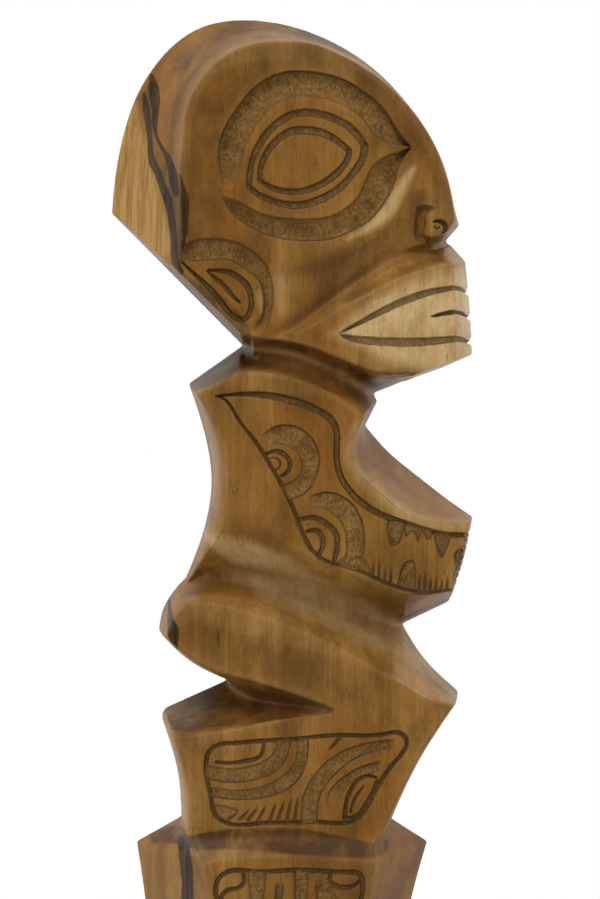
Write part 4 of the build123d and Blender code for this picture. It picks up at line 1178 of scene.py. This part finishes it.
class TikiCarvingSettings(bpy.types.PropertyGroup):
    """How finely the figure is carved."""

    row_step: FloatProperty(
        name="Row step",
        description="Height between two rows of the carved surface",
        default=0.17 * MM,
        min=0.1 * MM,
        max=2 * MM,
        unit="LENGTH",
        precision=5,
    )
    columns: IntProperty(
        name="Columns",
        description="Points from the back to the front of each side",
        default=340,
        min=60,
        max=500,
    )
    softness: IntProperty(
        name="Edge wear",
        description="Passes of smoothing over the edges between the bevels",
        default=2,
        min=0,
        max=20,
    )
    bands: IntProperty(
        name="Bands",
        description="Pieces that the surface is cut into, from foot to crown",
        default=8,
        min=6,
        max=16,
    )


class TikiWoodSettings(bpy.types.PropertyGroup):
    """Colours of the figure's wood, and of the shade and highlights painted on it."""

    heart: colour_setting("Heartwood", "The wood's own brown", 114, 79, 30)
    pale: colour_setting("Pale layers", "Lighter growth layers", 142, 104, 52)
    red: colour_setting("Warm clouds", "Warmer, redder patches", 118, 76, 26)
    shade: colour_setting("Fibre shade", "Darker fibre lines", 78, 51, 19)
    sap: colour_setting("Sapwood", "Yellower wood outside the streak", 154, 122, 68)
    pore: colour_setting("Pores", "Open pores", 48, 31, 14)
    streak: colour_setting("Streak", "Dark streak of old heartwood", 18, 12, 4)
    # Colour of darkened wood and of painted shade and shadows.
    stain_and_shade: colour_setting("Stain", "Wood darkened by oil", 64, 41, 17)
    # Colour of worn wood and of painted highlights and sheen.
    worn: colour_setting("Worn", "Edges and faces paled by handling", 182, 156, 112)
    # Colour of oil in hollows and of the painted shade there.
    deep: colour_setting("Deep", "Hollows that keep their oil", 72, 38, 12)
    ground_dark: colour_setting("Ground, dark", "Chiselled ground, dark patina", 66, 48, 23)
    ground_pale: colour_setting("Ground, pale", "Chiselled ground, pale dust", 128, 101, 58)
    # Colour of patina and painted shade along the cuts.
    seam: colour_setting("Seams", "Patina gathered along the cuts", 38, 25, 11)


class TikiFittingSettings(bpy.types.PropertyGroup):
    """Colours of the plinth and the fixings."""

    plinth_pale: colour_setting("Plinth, pale", "Pale grain of the plinth", 104, 74, 46)
    plinth_dark: colour_setting("Plinth, dark", "Dark grain of the plinth", 62, 41, 25)
    dowel_pale: colour_setting("Dowels, pale", "Pale grain of the dowels", 214, 184, 140)
    dowel_dark: colour_setting("Dowels, dark", "Dark grain of the dowels", 178, 142, 96)
    steel: colour_setting("Steel", "Plated steel of the screw and washer", 196, 196, 190)
    felt: colour_setting("Felt", "Felt of the pads", 46, 44, 42)


# ---- operators --------------------------------------------------------------------------------------------


class TIKI_OT_carve_figure(bpy.types.Operator):
    """Carve the figure from its masses and cuts, as a stack of closed bands of one surface"""

    bl_idname = "tiki.carve_figure"
    bl_label = "Carve the figure"

    def execute(self, context):
        settings = context.scene.tiki_carving
        low, high = (np.array(corner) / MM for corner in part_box(CARVING))
        scale = (high[2] - low[2]) / (DRAWN_TOP - DRAWN_FOOT)
        zs = row_heights(settings.row_step / MM)
        sheet = side_sheet(zs, settings.columns, settings.softness)
        x = sheet[..., 0]
        z = np.repeat(zs[:, None], settings.columns, axis=1)
        cuts = carve(x, z)
        points = np.stack([self.mirrored(x), self.mirrored(sheet[..., 1], -1), self.mirrored(z)], axis=-1)
        points -= surface_normals(points) * self.mirrored(cuts.depth)[..., None]
        hollow = hollowness(points)
        foot = points[:1] * np.array([1.0, 0.0, 1.0])
        crown = points[-1:] * np.array([1.0, 0.0, 1.0])
        points = np.concatenate([foot, points, crown])
        normals = surface_normals(points)
        normals[0] = (0.0, 0.0, -1.0)
        normals[-1] = (0.0, 0.0, 1.0)
        points = (points - [0.0, 0.0, DRAWN_FOOT]) * scale + [0.0, 0.0, low[2]]
        values = {"hollow": hollow, **{key: self.mirrored(value) for key, value in cuts.marks.items()}}
        values = {key: np.concatenate([value[:1], value, value[-1:]]) for key, value in values.items()}
        colours = {key: getattr(context.scene.tiki_wood, key) for key in TikiWoodSettings.__annotations__}
        wood = carved_wood(colours)
        edges = np.linspace(0, len(points) - 1, settings.bands + 1).round().astype(int)
        for number, (start, end) in enumerate(zip(edges[:-1], edges[1:])):
            rows = slice(start, end + 1)
            band = {key: value[rows] for key, value in values.items()}
            piece = grid_mesh(f"carving_band_{number + 1:02d}", points[rows] * MM, normals[rows], band)
            piece.data.materials.append(wood)
            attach(piece, "root")
            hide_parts(CARVING)
        return {"FINISHED"}

    @staticmethod
    def mirrored(value, sign=1):
        """The near side from back to front, then the far side back again; sign is -1 for what turns over."""
        return np.concatenate([sign * value, value[:, -2:0:-1]], axis=1)


class TIKI_OT_finish_fittings(bpy.types.Operator):
    """Give the plinth, the dowels, the screw, the washer and the pads their materials"""

    bl_idname = "tiki.finish_fittings"
    bl_label = "Finish the fittings"

    def execute(self, context):
        colours = context.scene.tiki_fittings
        plinth = grained_wood("plinth wood", colours.plinth_pale, colours.plinth_dark, 0, 130.0, 0.5)
        dowel = grained_wood("dowel wood", colours.dowel_pale, colours.dowel_dark, 2, 400.0, 0.65)
        steel = turned_steel("plated steel", colours.steel, 0.35)
        felt = pressed_felt("felt", colours.felt)
        finishes = {PLINTH: plinth, SCREW: steel, WASHER: steel}
        finishes.update((node, dowel) for node in DOWELS)
        finishes.update((node, felt) for node in PADS)
        for node, material in finishes.items():
            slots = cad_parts[node].data.materials
            for place in range(len(slots)):
                slots[place] = material
            if not len(slots):
                slots.append(material)
        return {"FINISHED"}


class TIKI_OT_set_stage(bpy.types.Operator):
    """Set the floor, the lamps, the sky and the camera"""

    bl_idname = "tiki.set_stage"
    bl_label = "Set the stage"

    def execute(self, context):
        scene = context.scene
        scene.view_settings.view_transform = "Standard"
        self.camera(scene)
        self.floor(scene)
        self.lamps(scene)
        self.sky(scene)
        return {"FINISHED"}

    @staticmethod
    def camera(scene):
        """A camera square to the tiki's side, at the height of its belly, that sees it from calf to crown."""
        data = bpy.data.cameras.new("camera")
        data.lens = CAMERA_LENS
        data.sensor_width = 36.0
        camera = bpy.data.objects.new("camera", data)
        camera.location = CAMERA_PLACE
        camera.rotation_euler = (pi / 2, 0, 0)
        scene.collection.objects.link(camera)
        scene.camera = camera

    @staticmethod
    def floor(scene):
        """A pale floor. Away from the tiki it is plain white to the camera; near it, it takes the shadow."""
        mesh = bpy.data.meshes.new("floor")
        corners = [(FLOOR_HALF * x, FLOOR_HALF * y, 0) for x, y in ((-1, -1), (1, -1), (1, 1), (-1, 1))]
        mesh.from_pydata(corners, [], [(0, 1, 2, 3)])
        floor = bpy.data.objects.new("floor", mesh)
        scene.collection.objects.link(floor)
        s = Shader("floor")
        distance = s.node("ShaderNodeVectorMath", {0: s.coords.outputs["Object"]}, operation="LENGTH")
        away = s.ramp(distance.outputs["Value"], 0.1, 0.24)
        path = s.node("ShaderNodeLightPath").outputs
        seen = s.math("MAXIMUM", path["Is Glossy Ray"], path["Is Transmission Ray"])
        seen = s.math("MAXIMUM", path["Is Camera Ray"], seen)
        paint = s.node("ShaderNodeBsdfDiffuse", {"Color": (0.86, 0.86, 0.86, 1)}).outputs[0]
        white = s.node("ShaderNodeEmission", {"Color": (1, 1, 1, 1), "Strength": 1.0}).outputs[0]
        mixed = s.node("ShaderNodeMixShader", {0: s.math("MULTIPLY", away, seen), 1: paint, 2: white})
        s.node("ShaderNodeOutputMaterial", {"Surface": mixed.outputs[0]})
        mesh.materials.append(s.material)

    @staticmethod
    def lamps(scene):
        for name, place, size, power in LAMPS:
            data = bpy.data.lights.new(name, "AREA")
            data.size = size
            data.energy = power
            lamp = bpy.data.objects.new(name, data)
            lamp.location = place
            lamp.rotation_euler = (Vector(AIM) - Vector(place)).to_track_quat("-Z", "Y").to_euler()
            scene.collection.objects.link(lamp)

    @staticmethod
    def sky(scene):
        """A pale sky, dimmer from above, and white to the camera and in what shines."""
        world = bpy.data.worlds.new("sky")
        scene.world = world
        world.use_nodes = True
        nodes = world.node_tree.nodes
        links = world.node_tree.links
        nodes.clear()
        facing = nodes.new("ShaderNodeSeparateXYZ")
        links.new(nodes.new("ShaderNodeTexCoord").outputs["Generated"], facing.inputs[0])
        dim = nodes.new("ShaderNodeMapRange")
        dim.interpolation_type = "SMOOTHSTEP"
        links.new(facing.outputs["Z"], dim.inputs["Value"])
        for key, value in (("From Min", 0.2), ("From Max", 0.8), ("To Min", 0.42), ("To Max", 0.2)):
            dim.inputs[key].default_value = value
        path = nodes.new("ShaderNodeLightPath").outputs
        seen = path["Is Camera Ray"]
        for kind in ("Is Glossy Ray", "Is Transmission Ray"):
            either = nodes.new("ShaderNodeMath")
            either.operation = "MAXIMUM"
            links.new(seen, either.inputs[0])
            links.new(path[kind], either.inputs[1])
            seen = either.outputs[0]
        strength = nodes.new("ShaderNodeMix")
        links.new(seen, strength.inputs[0])
        links.new(dim.outputs["Result"], strength.inputs[2])
        strength.inputs[3].default_value = 1.0
        light = nodes.new("ShaderNodeBackground")
        light.inputs["Color"].default_value = (1, 1, 1, 1)
        links.new(strength.outputs[0], light.inputs["Strength"])
        links.new(light.outputs[0], nodes.new("ShaderNodeOutputWorld").inputs["Surface"])


class TIKI_PT_sidebar(bpy.types.Panel):
    """The tiki's settings and steps"""

    bl_idname = "TIKI_PT_sidebar"
    bl_label = "Carved tiki"
    bl_space_type = "VIEW_3D"
    bl_region_type = "UI"
    bl_category = "Tiki"

    def draw(self, context):
        layout = self.layout
        for group in (getattr(context.scene, key) for key in SETTINGS):
            column = layout.column(align=True)
            for key in group.__annotations__:
                column.prop(group, key)
        for operator in OPERATORS:
            layout.operator(operator.bl_idname)


SETTINGS = {
    "tiki_carving": TikiCarvingSettings,
    "tiki_wood": TikiWoodSettings,
    "tiki_fittings": TikiFittingSettings,
}
OPERATORS = (TIKI_OT_set_stage, TIKI_OT_carve_figure, TIKI_OT_finish_fittings)


def register():
    for made in (*SETTINGS.values(), *OPERATORS, TIKI_PT_sidebar):
        bpy.utils.register_class(made)
    for key, made in SETTINGS.items():
        setattr(bpy.types.Scene, key, PointerProperty(type=made))


def unregister():
    for key in SETTINGS:
        delattr(bpy.types.Scene, key)
    for made in (TIKI_PT_sidebar, *reversed(OPERATORS), *SETTINGS.values()):
        bpy.utils.unregister_class(made)


def main():
    register()
    bpy.ops.tiki.set_stage()
    bpy.ops.tiki.carve_figure()
    bpy.ops.tiki.finish_fittings()


if __name__ == "__main__":
    main()
